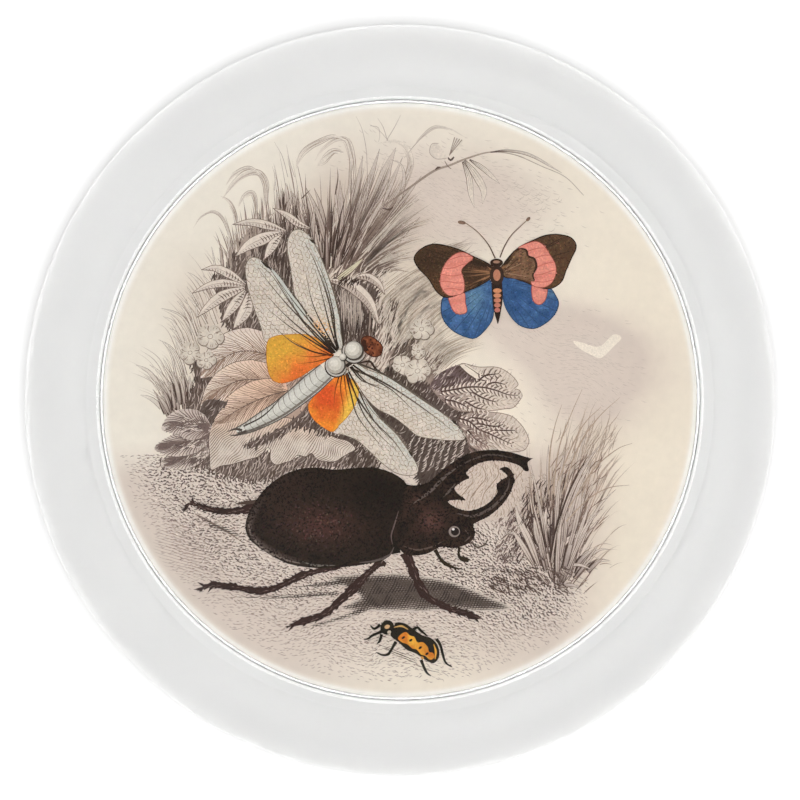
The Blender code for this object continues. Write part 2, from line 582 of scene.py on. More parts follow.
def leaf(spine, breadth, spacing, bulge, weight, colour, low_side, edge, vein, shape, ink, tip_colour):
    """A broad leaf: pale, with an inked outline and vein, and engraved arcs from the vein to both edges."""
    line = smooth(spine, spacing=0.2)
    half = breadth / 2 * spread(shape, len(line))
    side = normals(line)
    lift()
    leaf_fills.stroke(line, half * 2, colour, tip_colour)
    lift()
    length = len(line) * 0.2
    rng = np.random.default_rng(int(abs(spine[0][0] * 100)))
    span = np.linspace(0.0, 1.0, 8)
    for start in np.arange(-abs(bulge), 1, spacing / max(length, 1e-6)):
        for sign, strength in ((1, 1.0), (-1, low_side)):
            place_t = start + bulge * (1 - (1 - span) ** 1.7) + rng.normal(0, 0.003)
            good = (place_t > 0.01) & (place_t < 0.985)
            if good.sum() < 3:
                continue
            at = place_t[good] * (len(line) - 1)
            low = np.clip(at.astype(int), 0, len(line) - 2)
            part = (at - low)[:, None]
            centre = line[low] * (1 - part) + line[low + 1] * part
            out = side[low] * (half[low] * span[good] * sign)[:, None]
            width = weight * strength * rng.uniform(0.6, 1.35)
            leaf_lines.stroke(centre + out, (width * 1.3, width, width * 0.6), ink)
    for sign in (-1, 1):
        leaf_lines.stroke(line + side * (sign * half)[:, None], (edge, edge * 1.2, edge), INK_BROWN)
    leaf_lines.stroke(line[: int(len(line) * 0.93)], (vein, vein * 0.8, vein * 0.2), INK_BROWN)


def dry_leaf(path, breadth, strands, seed):
    """An arching dry leaf: a soft pale strip gone over with several loose pen strokes."""
    line = smooth(path, spacing=0.4)
    half = breadth / 2 * spread((0.4, 0.7, 0.9, 1.1, 1.2, 0.8, 0.1), len(line))
    side = normals(line) * half[:, None]
    lift()
    grass_fills.stroke(line, half * 1.6, (228, 217, 204), (222, 210, 197))
    lift()
    rng = np.random.default_rng(seed)
    steps = np.arange(len(line)) * 0.4
    for share in np.linspace(-1, 1, strands):
        first = int(rng.uniform(0, 0.35) * len(line))
        last = max(first + 4, int(rng.uniform(0.6, 1.0) * len(line)))
        drift = share + 0.5 * (noise(steps, np.full(len(line), share * 9.0 + seed), 2.0) - 0.5)
        tone = mix((146, 127, 116), (198, 182, 168), rng.random())
        grass_lines.stroke((line + side * drift[:, None])[first:last], (0.04, 0.1, 0.09, 0.02), tone,
                           (190, 172, 158))


def lance(spine, breadth, colour=(219, 206, 193), shade=(211, 197, 185)):
    """A narrow pointed leaf: pale, with fine ticks below its midrib and dark bars near its base."""
    line = smooth(spine, spacing=0.25)
    half = breadth / 2 * spread((0.25, 0.75, 1.0, 0.9, 0.55, 0.0), len(line))
    side = normals(line)
    if side[len(side) // 2, 1] < 0:
        side = -side
    lift()
    leaf_fills.stroke(line, half * 2, colour)
    lift()
    leaf_fills.stroke(line - side * (half * 0.5)[:, None], half, shade)
    lift()
    edge = 0.09
    leaf_lines.stroke(line + side * half[:, None], edge, INK_SOFT)
    leaf_lines.stroke(line - side * half[:, None], edge * 1.2, (118, 98, 89))
    leaf_lines.stroke(line, (edge * 1.2, edge * 0.8, 0), INK_SOFT, INK_FAINT)
    rng = np.random.default_rng(int(abs(spine[0][0] * 97 + spine[-1][1] * 13)))
    middle = np.arange(1, len(line) - 2, 2)
    near = middle < len(line) * 0.42
    angle = np.degrees(np.arctan2(side[middle, 1], side[middle, 0]))
    drop = np.where(near, 0.1, 0.55)[:, None]
    centre = line[middle] - side[middle] * half[middle][:, None] * drop
    length = half[middle] * np.where(near, rng.uniform(1.1, 1.7, near.size), rng.uniform(0.5, 0.9, near.size))
    lean, width = angle + rng.normal(22, 6, near.size), np.where(near, 0.16, 0.09)
    dashes(leaf_lines, centre[:, 0], centre[:, 1], lean, length, width, 0.12, INK_BROWN)


def blossom(x, y, radius, petals, turn=0.0):
    """A small flower: soft rounded petals parted by fine lines, with a small ring at its heart."""
    rng = np.random.default_rng(int(abs(x * 31 + y * 17)))
    angles = np.linspace(0, 2 * math.pi, 48, endpoint=False)
    lobes = 0.2 * np.abs(np.cos(angles * petals / 2 + turn)) ** 0.6
    reach = radius * (0.8 + lobes + 0.07 * np.sin(2 * angles + turn * 5))
    ring = np.stack([x + reach * np.cos(angles), y + reach * np.sin(angles)], 1)

    def petal_tone(u, v):
        return mix((217, 206, 192), (192, 178, 164), np.hypot(u - x, v - y) / radius * 1.2 - 0.5)

    leaf_lines.wash(ring + (ring - (x, y)) * 0.05 + (0.06, -0.1), (128, 111, 101))
    leaf_fills.wash(ring, petal_tone, radius / 3)
    lift()
    for k in range(petals):
        valley = (math.pi / 2 - turn + k * math.pi) * 2 / petals
        out = np.array([math.cos(valley), math.sin(valley)])
        bend = np.array([-out[1], out[0]]) * radius * 0.08
        parting = np.array([(x, y) + out * radius * 0.3, (x, y) + out * radius * 0.55 + bend,
                            (x, y) + out * radius * 0.84])
        leaf_lines.stroke(smooth(parting), (0.02, 0.1, 0.15), INK_SOFT)
    rim = rng.uniform(0, 2 * math.pi, 18)
    out = np.interp(rim, angles, reach, period=2 * math.pi) * rng.uniform(0.66, 0.86, 18)
    dashes(leaf_lines, x + out * np.cos(rim), y + out * np.sin(rim), np.degrees(rim), radius * 0.24, 0.09,
           0.1, INK_SOFT)
    heart = ellipse(x, y, radius * 0.2, radius * 0.17, 20, 12)
    leaf_lines.stroke(looped(heart), 0.08, INK_SOFT)


def dark_gap(outline, colour=(98, 84, 76), heading=62, seed=0, light=0.25, overlap=0.35):
    """A deep shadow between leaves: a dark pool of short crossing strokes with a few light specks."""
    shape = smooth(outline, True)
    low, high = shape.min(0) - 0.4, shape.max(0) + 0.4
    leaf_darks.wash(shape, mix(colour, INK, 0.2))
    lift()
    x, y, rng = scatter(*low, *high, 0.46, seed + 200)
    x, y = kept(inside(shape, x, y) | (edge_distance(shape, x, y) < overlap), x, y)
    lean = heading + rng.normal(0, 14, x.size)
    shades = mix(mix(colour, INK, 0.75), mix(colour, INK, 0.3), rng.random(x.size))
    length, width = rng.uniform(0.7, 1.6, x.size), rng.uniform(0.14, 0.3, x.size)
    dashes(leaf_darks, x, y, lean, length, width, rng.normal(0, 0.1, x.size), shades)
    lift()
    chosen = (rng.random(x.size) < light) & inside(shape, x, y)
    pale = mix(colour, (206, 190, 178), rng.uniform(0.4, 0.95, chosen.sum()))
    dashes(leaf_darks, x[chosen] + 0.2, y[chosen], lean[chosen], rng.uniform(0.5, 1.3, chosen.sum()), 0.14,
           0.1, pale)


def brush(seed, count, start, start_reach, angles, lengths, width, colour=INK_BROWN, curve=0.2, lines=None):
    """Loose single pen strokes with angles, in degrees, and lengths between two values."""
    rng = np.random.default_rng(seed)
    x = start[0] + rng.uniform(-1, 1, count) * start_reach[0]
    y = start[1] + rng.uniform(-1, 1, count) * start_reach[1]
    heading, length = rng.uniform(*angles, count), rng.uniform(*lengths, count)
    turn = np.radians(heading)
    x, y = x + length / 2 * np.cos(turn), y + length / 2 * np.sin(turn)
    bow = rng.uniform(-1, 1, count) * curve * 0.5
    dashes(lines or grass_lines, x, y, heading, length, width * rng.uniform(0.6, 1.2, count), bow, colour)


# ---------------------------------------------------------------- the picture: sky, ground and plants


GROUND_HOLLOWS = (
    (0.48, -30, -14, 9.5, 7, -30),
    (0.36, -23, -24, 9, 5, -25),
    (0.30, -13, -27, 9, 4),
    (0.50, -24, -11.5, 8, 3, -10),
    (0.95, 13, -23.5, 9, 4.5, -20),
    (0.97, 20, -27, 8, 4.5, -30),
    (0.32, 10, -13.6, 5, 3),
    (0.8, -28, -12.2, 9, 2.4, -8),
    (0.24, 4, -25.4, 8, 2),
    (0.42, 12, -30, 14, 4, -12),
    (0.14, 0, -35, 20, 5),
)
CLOUDS = (
    (0.8, 5, 29, 14, 8, -12),
    (0.4, 17, 32, 8, 4, -25),
    (0.8, 24, 9, 10, 4, -14),
    (0.6, 28, 3.5, 7, 5, -35),
    (0.3, 24, 0, 7, 5),
)


def ground_cover(x, y):
    """How densely the bare ground is engraved."""
    cover = patches(x, y, GROUND_HOLLOWS, 0.13)
    edge = np.clip((42.4 - np.hypot(x, y)) / 4.5, 0, 1) ** 0.8
    below_leaves = np.clip((-8.6 - y - 0.06 * (x + 10)) / 1.2, 0, 1)
    left_of_grass = np.clip((29 - x - 0.25 * (y + 30)) / 6, 0, 1)
    return cover * edge * below_leaves * left_of_grass


def draw_ground():
    """Worm-like pen marks in three layers: faint all over, dark in the hollows, pale on top."""
    x, y, rng = scatter(-43, -43, 33, -8, 0.43, 50)
    cover = ground_cover(x, y)
    x, y, cover = kept((cover > 0.02) & (rng.random(x.size) < 0.3 + 3 * cover), x, y, cover)
    right = np.clip((x - 2) / 10, 0, 1)
    heading = -6 + 64 * (noise(x, y, 3.2) - 0.5) * (1 - 0.6 * right) - 27 * right
    heading = heading - 40 * blob(x, y, -24, -11, 9, 2.6, -8) + rng.normal(0, 9, x.size)
    length, width = rng.uniform(0.35, 0.8, x.size), rng.uniform(0.07, 0.12, x.size)
    dashes(ground_lines, x, y, heading, length, width, rng.uniform(-0.3, 0.3, x.size), (172, 152, 143))
    deep = rng.random(x.size) < 2.3 * cover - 0.14
    x, y, cover, heading = x[deep], y[deep], cover[deep], heading[deep] + rng.normal(0, 18, deep.sum())
    width = np.clip(0.04 + 0.26 * cover * rng.uniform(0.5, 1.4, x.size), 0.05, 0.24)
    shades = mix((138, 118, 112), (80, 62, 60), np.clip(cover * 1.7, 0, 1) * rng.uniform(0.4, 1, x.size))
    length, bow = rng.uniform(0.35, 0.75, x.size), rng.uniform(-0.4, 0.4, x.size)
    dashes(ground_lines, x, y, heading, length, width, bow, shades)
    x, y, heading = kept(rng.random(x.size) < 1.8 * cover - 0.05, x, y, heading)
    heading = heading + rng.normal(0, 24, x.size)
    length, width = rng.uniform(0.3, 0.7, x.size), rng.uniform(0.12, 0.2, x.size)
    dashes(ground_lines, x + 0.2, y + 0.12, heading, length, width, 0.25, (234, 222, 211))
    hatch(ground_lines, rows(-39, -30, -18, -17, 0.42, -14, 1.6, 3.0), 0.42,
          lambda x, y: 0.26 * blob(x, y, -31, -22, 6, 4.5, -30), (160, 140, 133), 0.03)


def draw_sky():
    """Very fine slanting lines in the clouds, no darker than a breath."""
    x, y, rng = scatter(-10, -6, 36, 40, 0.52, 51)
    x, y = kept((rng.random(x.size) < patches(x, y, CLOUDS)) & (np.hypot(x, y) < 41), x, y)
    heading = -20 + 44 * (noise(x, y, 5) - 0.5)
    length, shades = rng.uniform(0.5, 1.1, x.size), mix((198, 181, 170), (208, 193, 181), rng.random(x.size))
    dashes(sky_lines, x, y, heading, length, 0.07, 0.08, shades)
    x, y, rng = scatter(15, 25, 24, 33, 0.8, 52)
    x, y = kept(rng.random(x.size) < 0.9 * blob(x, y, 19.5, 29, 4, 3, -20), x, y)
    dashes(sky_lines, x, y, 24, rng.uniform(0.7, 1.5, x.size), 0.07, 0.3, (192, 175, 162))


def draw_gull():
    """A far-off white bird, left bare in the cloud."""
    shape = [(25.6, 8.7), (27, 8.5), (28.9, 7.9), (30, 8.2), (31.6, 9.7), (32.8, 9.2), (31.5, 7.8),
             (30.2, 6.5), (29.4, 6.2), (28.2, 6.7), (26.6, 7.6)]
    grass_fills.wash(smooth(shape, True, 0.5), (237, 226, 211))


LEFT_FIELD = (
    [(-33.4, -3.0), (-35.5, 0.0), (-38.5, 1.2)],
    [(-33.0, -1.0), (-35.6, 3.6), (-40.0, 6.0)],
    [(-32.6, 1.0), (-34.4, 6.0), (-37.2, 8.4)],
    [(-31.0, 3.0), (-33.4, 9.0), (-36.0, 10.4)],
    [(-30.0, 7.0), (-32.0, 11.5), (-35.4, 13.6)],
    [(-28.6, 10.0), (-30.8, 14.0), (-34.0, 17.6)],
    [(-26.8, 13.0), (-28.6, 17.6), (-31.6, 21.0)],
    [(-24.6, 16.0), (-26.8, 21.0), (-29.6, 25.0)],
)
TOP_LEFT_FIELD = (
    [(-25.6, 18.0), (-26.2, 22.0), (-28.6, 26.5)],
    [(-23.4, 21.0), (-24.0, 25.0), (-24.6, 28.8)],
    [(-21.6, 23.0), (-21.8, 27.0), (-22.6, 31.0)],
    [(-19.0, 24.0), (-19.4, 29.0), (-19.8, 33.6)],
    [(-16.6, 25.0), (-17.2, 31.0), (-18.4, 37.4)],
    [(-14.6, 25.0), (-15.2, 31.0), (-16.6, 37.8)],
)
TOP_FAN = (
    [(-14.6, 21.6), (-15.0, 25.0), (-16.2, 28.6), (-17.2, 31.6)],
    [(-13.0, 21.0), (-13.8, 25.4), (-15.0, 29.4), (-16.2, 33.0)],
    [(-11.8, 20.0), (-12.0, 25.2), (-12.8, 29.2), (-13.8, 33.0)],
    [(-10.8, 19.0), (-10.6, 25.0), (-10.4, 30.2), (-10.3, 35.0)],
    [(-10.0, 18.4), (-8.8, 24.6), (-7.6, 30.0), (-7.0, 35.6)],
    [(-9.4, 18.0), (-7.0, 24.8), (-4.6, 30.6), (-2.0, 37.6)],
    [(-9.0, 17.6), (-4.8, 24.4), (-1.4, 29.6), (1.4, 35.2)],
    [(-8.6, 17.4), (-3.6, 23.2), (0.6, 27.6), (5.0, 31.2)],
    [(-8.2, 17.2), (-3.4, 21.8), (1.0, 25.0), (6.2, 26.8)],
    [(-7.8, 17.0), (-3.8, 20.4), (0.2, 22.4), (4.2, 23.2)],
    [(-7.2, 16.8), (-4.0, 18.6), (-0.8, 19.6), (2.8, 19.2)],
)
MIDDLE_FIELD = (
    [(-5.6, 9.0), (-4.4, 13.0), (-2.6, 16.6)],
    [(-3.8, 6.6), (-1.4, 12.0), (2.0, 17.4)],
    [(-2.2, 4.6), (1.4, 11.0), (6.0, 17.0)],
    [(0.0, 4.0), (3.6, 9.4), (8.6, 14.0)],
    [(2.4, 3.6), (6.0, 8.0), (11.6, 10.8)],
    [(5.0, 3.4), (8.4, 6.6), (13.4, 8.0)],
)
UPPER_FIELD = (
    [(-4.6, 13.4), (-1.6, 16.6), (2.4, 19.4), (7.6, 21.6)],
    [(-3.4, 11.4), (0.4, 15.4), (4.2, 18.0), (8.6, 19.6)],
    [(-2.0, 9.4), (2.0, 13.6), (5.6, 16.2), (9.0, 17.4)],
    [(-0.4, 7.8), (3.4, 11.6), (6.8, 14.2), (9.6, 15.4)],
)
TOP_ARCHES = (
    ([(-8.2, 24), (-7.6, 29), (-7.1, 33), (-7.1, 36), (-7.9, 38.4), (-9.6, 38.5), (-11.6, 37.0),
      (-12.6, 35.4)], 0.9, 2),
    ([(-7.9, 38.4), (-9.9, 39.0), (-12.0, 38.2), (-14.4, 36.6), (-15.4, 34.2)], 0.7, 1),
    ([(-8.4, 36.6), (-9.8, 36.8), (-11.2, 35.6), (-12.4, 34.4)], 0.9, 1),
    ([(-1.6, 27), (0.2, 31.0), (1.2, 33.6), (1.6, 35.6), (0.8, 37.4), (-0.8, 38.3), (-3.2, 38.0)], 0.8, 2),
    ([(0.6, 35.8), (3.2, 38.9), (5.2, 40.4), (7.4, 40.1), (9.8, 38.8)], 0.35, 0),
    ([(-20.1, 26.5), (-19.8, 29.5), (-19.9, 32), (-20.9, 33.6), (-22.8, 33.4), (-24.6, 32.0),
      (-26.3, 29.8)], 0.8, 2),
    ([(-20.6, 33.4), (-22.4, 34.4), (-24.5, 33.4), (-25.8, 31.8)], 0.5, 0),
    ([(-21.5, 26), (-21.3, 28.6), (-21.8, 30.6), (-23.0, 30.2), (-24.0, 28.4)], 0.5, 1),
    ([(-24.0, 25.4), (-24.4, 27.6), (-25.4, 29.4), (-26.6, 30.2)], 0.45, 1),
    ([(-25.6, 20.5), (-25.3, 24), (-26.2, 26.8), (-27.8, 27.9), (-29.6, 27.0), (-30.6, 25.4)], 0.3, 0),
)


def draw_far_wisps():
    tendrils(LEFT_FIELD, 80, 0.11, 10, INK_FAINT, (204, 190, 177), jitter=0.8)
    tendrils(LEFT_FIELD, 34, 0.14, 11, INK_SOFT, INK_FAINT, (0.0, 0.3), (0.4, 0.8), 0.7)
    tendrils(TOP_LEFT_FIELD, 50, 0.12, 12, INK_SOFT, INK_FAINT, (0.0, 0.4), (0.4, 1.0), 0.5)
    fan(LEFT_FIELD, 30, 0.5, 13, ((232, 222, 209), (226, 215, 202)), (214, 201, 188), 0.06, 0, (0.0, 0.4),
        (0.5, 1.0), 0.7, 0.0, droop=0.12)
    wisp([(-4.8, 33), (-5.0, 37), (-5.6, 40), (-6.5, 42)])
    wisp([(-2.0, 38.4), (-0.8, 40.4), (0.1, 42.2)])
    wisp([(-1.8, 38.2), (-2.5, 40.4), (-3.3, 41.7)])
    wisp([(-1.4, 38.0), (-3.0, 39.8), (-4.6, 40.9)], 0.06)
    wisp([(-4.4, 40.6), (-3.2, 40.3), (-3.0, 39.0), (-3.2, 38.2)], 0.07)
    wisp([(-16.6, 33.0), (-17.4, 36.0), (-18.6, 38.2)])
    wisp([(-15.6, 33.0), (-16.4, 35.6), (-16.8, 37.8)])
    wisp([(-18.6, 31.0), (-18.5, 33.0), (-18.9, 34.6)])


def draw_top_grass():
    pale = ((222, 209, 196), (213, 199, 187), (203, 188, 176))
    tendrils(TOP_LEFT_FIELD, 56, 0.16, 19, INK_BROWN, INK_FAINT, (0.0, 0.3), (0.2, 0.6), 0.45)
    fan(TOP_LEFT_FIELD, 24, 0.6, 20, pale[:2], (176, 159, 148), 0.1, 1, (0, 0.25), (0.25, 0.6), 0.4, 0.3,
        droop=0.26)
    for index, (path, breadth, folds) in enumerate(TOP_ARCHES):
        dry_leaf(path, breadth, 3 + 2 * folds, index)
    tendrils(TOP_FAN, 56, 0.14, 21, INK_SOFT, INK_FAINT, (0.1, 0.5), (0.7, 1.0), 0.5)
    fan(TOP_FAN, 28, 0.9, 22, pale, (184, 167, 156), 0.11, 2, (0.1, 0.4), (0.45, 0.95), 0.4, 0.3, droop=0.22)
    curves = [smooth(guide) for guide in TOP_FAN]
    for place_at in (4.3, 4.8, 5.3, 5.7, 6.1, 6.5):
        blade(between(curves, place_at, 5), 1.5, 0.09, 5, (208, 194, 182), (170, 154, 144))
    blade([(-6.8, 21), (-5.4, 25.4), (-3.2, 30.6), (-1.8, 34.6), (-0.6, 37.4)], 2.4, 0.08, 6,
          (214, 200, 188), (190, 174, 163))
    blade([(-7.6, 21), (-6.6, 25), (-5.4, 29), (-4.4, 33.4)], 1.2, 0.08, 3, (212, 198, 186), (176, 159, 149))
    blade([(-5.6, 21), (-2.6, 25.6), (-0.4, 29.0), (0.6, 32.4), (0.2, 34.8), (-1.4, 35.6)], 0.8, 0.08, 2,
          (218, 205, 192), (190, 174, 163))
    blade([(-9.6, 20), (-9.0, 25), (-8.8, 29), (-8.9, 32.6)], 1.3, 0.1, 3, (202, 186, 175), (170, 152, 143))
    tendrils(TOP_FAN, 64, 0.17, 24, INK_BROWN, INK_SOFT, (0.0, 0.4), (0.4, 0.9), 0.45)
    fan(TOP_FAN, 40, 0.7, 23, pale, (158, 140, 130), 0.12, 1, (0.0, 0.25), (0.25, 0.75), 0.35, 0.6, droop=0.2)
    tendrils(TOP_FAN, 66, 0.22, 27, INK, INK_BROWN, (0.0, 0.35), (0.25, 0.7), 0.5)
    fan(TOP_FAN[5:], 14, 0.4, 25, ((218, 205, 191), (205, 191, 178)), (176, 159, 148), 0.1, 0, (0.0, 0.35),
        (0.4, 1.0), 0.4, 0.5, droop=0.16)
    tendrils(TOP_FAN[6:], 44, 0.2, 80, INK_BROWN, INK_SOFT, (0.0, 0.4), (0.4, 0.9), 0.5)
    tendrils(TOP_FAN[4:8], 44, 0.12, 81, INK_BROWN, INK_FAINT, (0.3, 0.7), (0.75, 1.0), 0.5)
    tendrils(TOP_FAN[6:], 34, 0.22, 35, (205, 191, 177), (206, 192, 178), (0.2, 0.5), (0.8, 1.0), 0.4)
    tendrils(TOP_FAN[5:], 60, 0.14, 26, (116, 96, 85), (176, 158, 145), (0.1, 0.4), (0.7, 1.0), 0.5)
    for path in ([(-10.3, 24.0), (-10.4, 29.0), (-10.3, 34.8)], [(-13.4, 27), (-13.9, 30.0), (-14.0, 33.6)],
                 [(-14.6, 29.8), (-13.8, 30.6), (-13.2, 31.2)], [(-9.6, 30.4), (-9.2, 32.8), (-9.3, 34.6)],
                 [(-7.4, 24.0), (-7.3, 30.0), (-7.1, 35.0)], [(-12.6, 20.4), (-13.6, 24.0), (-14.2, 27.0)]):
        grass_lines.stroke(smooth(path), (0.16, 0.2, 0.14, 0.0), INK_BROWN, INK_SOFT)


def draw_middle_field():
    tendrils(MIDDLE_FIELD, 90, 0.24, 29, (214, 200, 185), (206, 191, 175), (0.0, 0.3), (0.6, 1.0), 0.5)
    tendrils(MIDDLE_FIELD, 130, 0.13, 28, (160, 141, 125), (194, 178, 161), (0.0, 0.4), (0.6, 1.0), 0.45)
    tendrils(MIDDLE_FIELD[:4], 34, 0.17, 30, (112, 93, 82), INK_FAINT, (0.0, 0.25), (0.4, 0.9), 0.4)
    tendrils(MIDDLE_FIELD[2:], 24, 0.2, 72, (228, 216, 202), (220, 206, 191), (0.1, 0.4), (0.6, 1.0), 0.4)
    brush(31, 70, (5.2, 20.4), (3.0, 2.2), (5, 34), (1.5, 4.0), 0.1, INK_FAINT, 0.2)
    for seed, count, width, colour in ((83, 60, 0.2, (196, 180, 165)), (84, 80, 0.13, (150, 131, 117)),
                                       (85, 44, 0.16, (226, 213, 198))):
        tendrils(UPPER_FIELD, count, width, seed, colour, (200, 184, 168), (0.0, 0.6), (0.6, 1.0), 0.6)


def draw_twig():
    line = smooth([(-2, 29), (1.5, 31.5), (5, 33.9), (7.5, 34.8), (10, 35.8), (13.4, 36.7), (17, 36.3),
                   (21, 34.6), (24.5, 33), (27.2, 30.3)])
    lift()
    grass_lines.stroke(line, (0.16, 0.36, 0.3, 0.16, 0.12, 0.12), (146, 128, 116), (196, 181, 166))
    for path in ([(5.2, 34.1), (5.6, 34.4), (6.0, 34.5)], [(-2.6, 28.4), (-1.6, 28.2), (-1.0, 28.6)]):
        grass_lines.stroke(smooth(path), (0.1, 0.34, 0.1), INK_BROWN)
    for path, breadth in (
        ([(9.3, 35.3), (10.2, 33), (10.5, 30.6), (11.0, 28.4)], 0.9),
        ([(9.6, 35.5), (11.4, 33), (12.4, 31), (12.2, 29.0)], 1.1),
        ([(10.3, 35.6), (12.4, 34.2), (14.8, 32.0)], 0.7),
        ([(13.4, 36.7), (16, 36.9), (19.4, 36.2), (24.0, 33.6)], 0.4),
    ):
        blade(path, breadth, 0.07, 2, (219, 206, 192), shape=(0.2, 0.8, 1, 0.8, 0.0))
    draw_twig_moth()


def draw_twig_moth():
    """The tiny moth that sits on the twig, one wing up and one out to the side."""
    grass_fills.wash([(7.3, 36.2), (8.0, 38.9), (9.3, 38.5), (9.0, 37.4)], (224, 212, 198))
    grass_fills.fill(smooth([(6.9, 35.9), (5.4, 35.7), (4.4, 36.6), (4.6, 37.8), (5.6, 37.9)], True),
                     (222, 209, 196))
    lift()
    for k in range(4):
        tip = (8.1 + 0.36 * k, 38.9 - 0.12 * k)
        grass_lines.stroke(np.array([(7.3, 36.2), tip]), (0.08, 0.12), INK_SOFT)
    grass_lines.stroke(smooth([(6.9, 35.8), (5.4, 35.7), (4.4, 36.6), (4.7, 37.9), (5.7, 38.0)]), 0.09,
                       INK_FAINT)
    grass_lines.stroke(smooth([(7.1, 35.9), (7.5, 35.5), (8.0, 36.0)]), (0.2, 0.34, 0.2), INK_BROWN)
    grass_lines.stroke(smooth([(6.6, 35.4), (7.1, 34.6), (7.6, 34.2)]), (0.1, 0.16, 0.1), INK_SOFT)


STAR_LEAVES = (
    ([(-13.4, 25.4), (-15.2, 26.2), (-16.8, 27.4), (-18.8, 28.4)], 1.1),
    ([(-17.0, 25.0), (-19.4, 25.8), (-22.0, 26.3), (-24.8, 26.0)], 1.3),
    ([(-17.6, 24.8), (-20.0, 24.0), (-22.4, 22.9), (-24.4, 21.2)], 1.8),
    ([(-17.6, 24.4), (-18.8, 23.0), (-20.1, 20.8)], 1.4),
    ([(-22.9, 17.1), (-25.2, 18.6), (-27.3, 19.5), (-29.4, 19.3)], 1.3),
    ([(-23.0, 16.9), (-26.0, 17.3), (-28.4, 16.9), (-30.8, 15.8)], 1.2),
    ([(-23.0, 16.6), (-26.2, 15.4), (-28.3, 13.9), (-30.1, 12.2)], 1.6),
    ([(-22.9, 16.2), (-24.6, 14.0), (-26.4, 11.6)], 1.5),
    ([(-22.4, 15.8), (-22.8, 13.4), (-24.7, 10.5)], 1.9),
)


def draw_star_leaves():
    leaf_darks.wash(smooth([(-23.4, 23.6), (-21.4, 25.4), (-19.0, 23.0), (-19.8, 19.6), (-22.2, 19.0),
                            (-24.0, 20.4)], True),
                    (166, 149, 138))
    dark_gap([(-16.3, 26.2), (-19, 25.6), (-21.4, 25.4), (-22.2, 23.8), (-21.6, 21.2), (-19.6, 19.8),
              (-18.4, 17.5), (-16.6, 13.2), (-14.9, 13.0), (-15.6, 18), (-16.2, 22)], (112, 97, 90), 74, 1,
             0.3)
    dark_gap([(-24.4, 21.6), (-23, 21.4), (-22.6, 18.5), (-22.9, 17), (-24.5, 18.6), (-25.4, 20.2)],
             (146, 130, 120), 80, 2)
    dark_gap([(-22.9, 17.3), (-25.5, 18.3), (-27.6, 18.4), (-27.2, 17.0), (-26.6, 15.0), (-26.4, 13.0),
              (-25.6, 11.0), (-23.6, 9.8), (-20.0, 9.6), (-20.6, 12.5), (-22.0, 15.5)], (134, 118, 109),
             78, 3, 0.6)
    tendrils(TOP_LEFT_FIELD[2:], 30, 0.2, 32, INK, INK_SOFT, (0.0, 0.2), (0.15, 0.45), 0.6)
    tendrils(TOP_LEFT_FIELD[:4], 44, 0.17, 34, (190, 173, 160), INK_SOFT, (0.0, 0.25), (0.3, 0.8), 0.5)
    brush(73, 60, (-19.0, 20.4), (2.6, 4.6), (70, 96), (1.4, 3.4), 0.16, (176, 159, 148), 0.2)
    brush(74, 60, (-19.0, 18.4), (2.4, 5.0), (70, 96), (1.4, 3.4), 0.22, (74, 60, 54), 0.2)
    for path, breadth in STAR_LEAVES:
        lance(path, breadth)


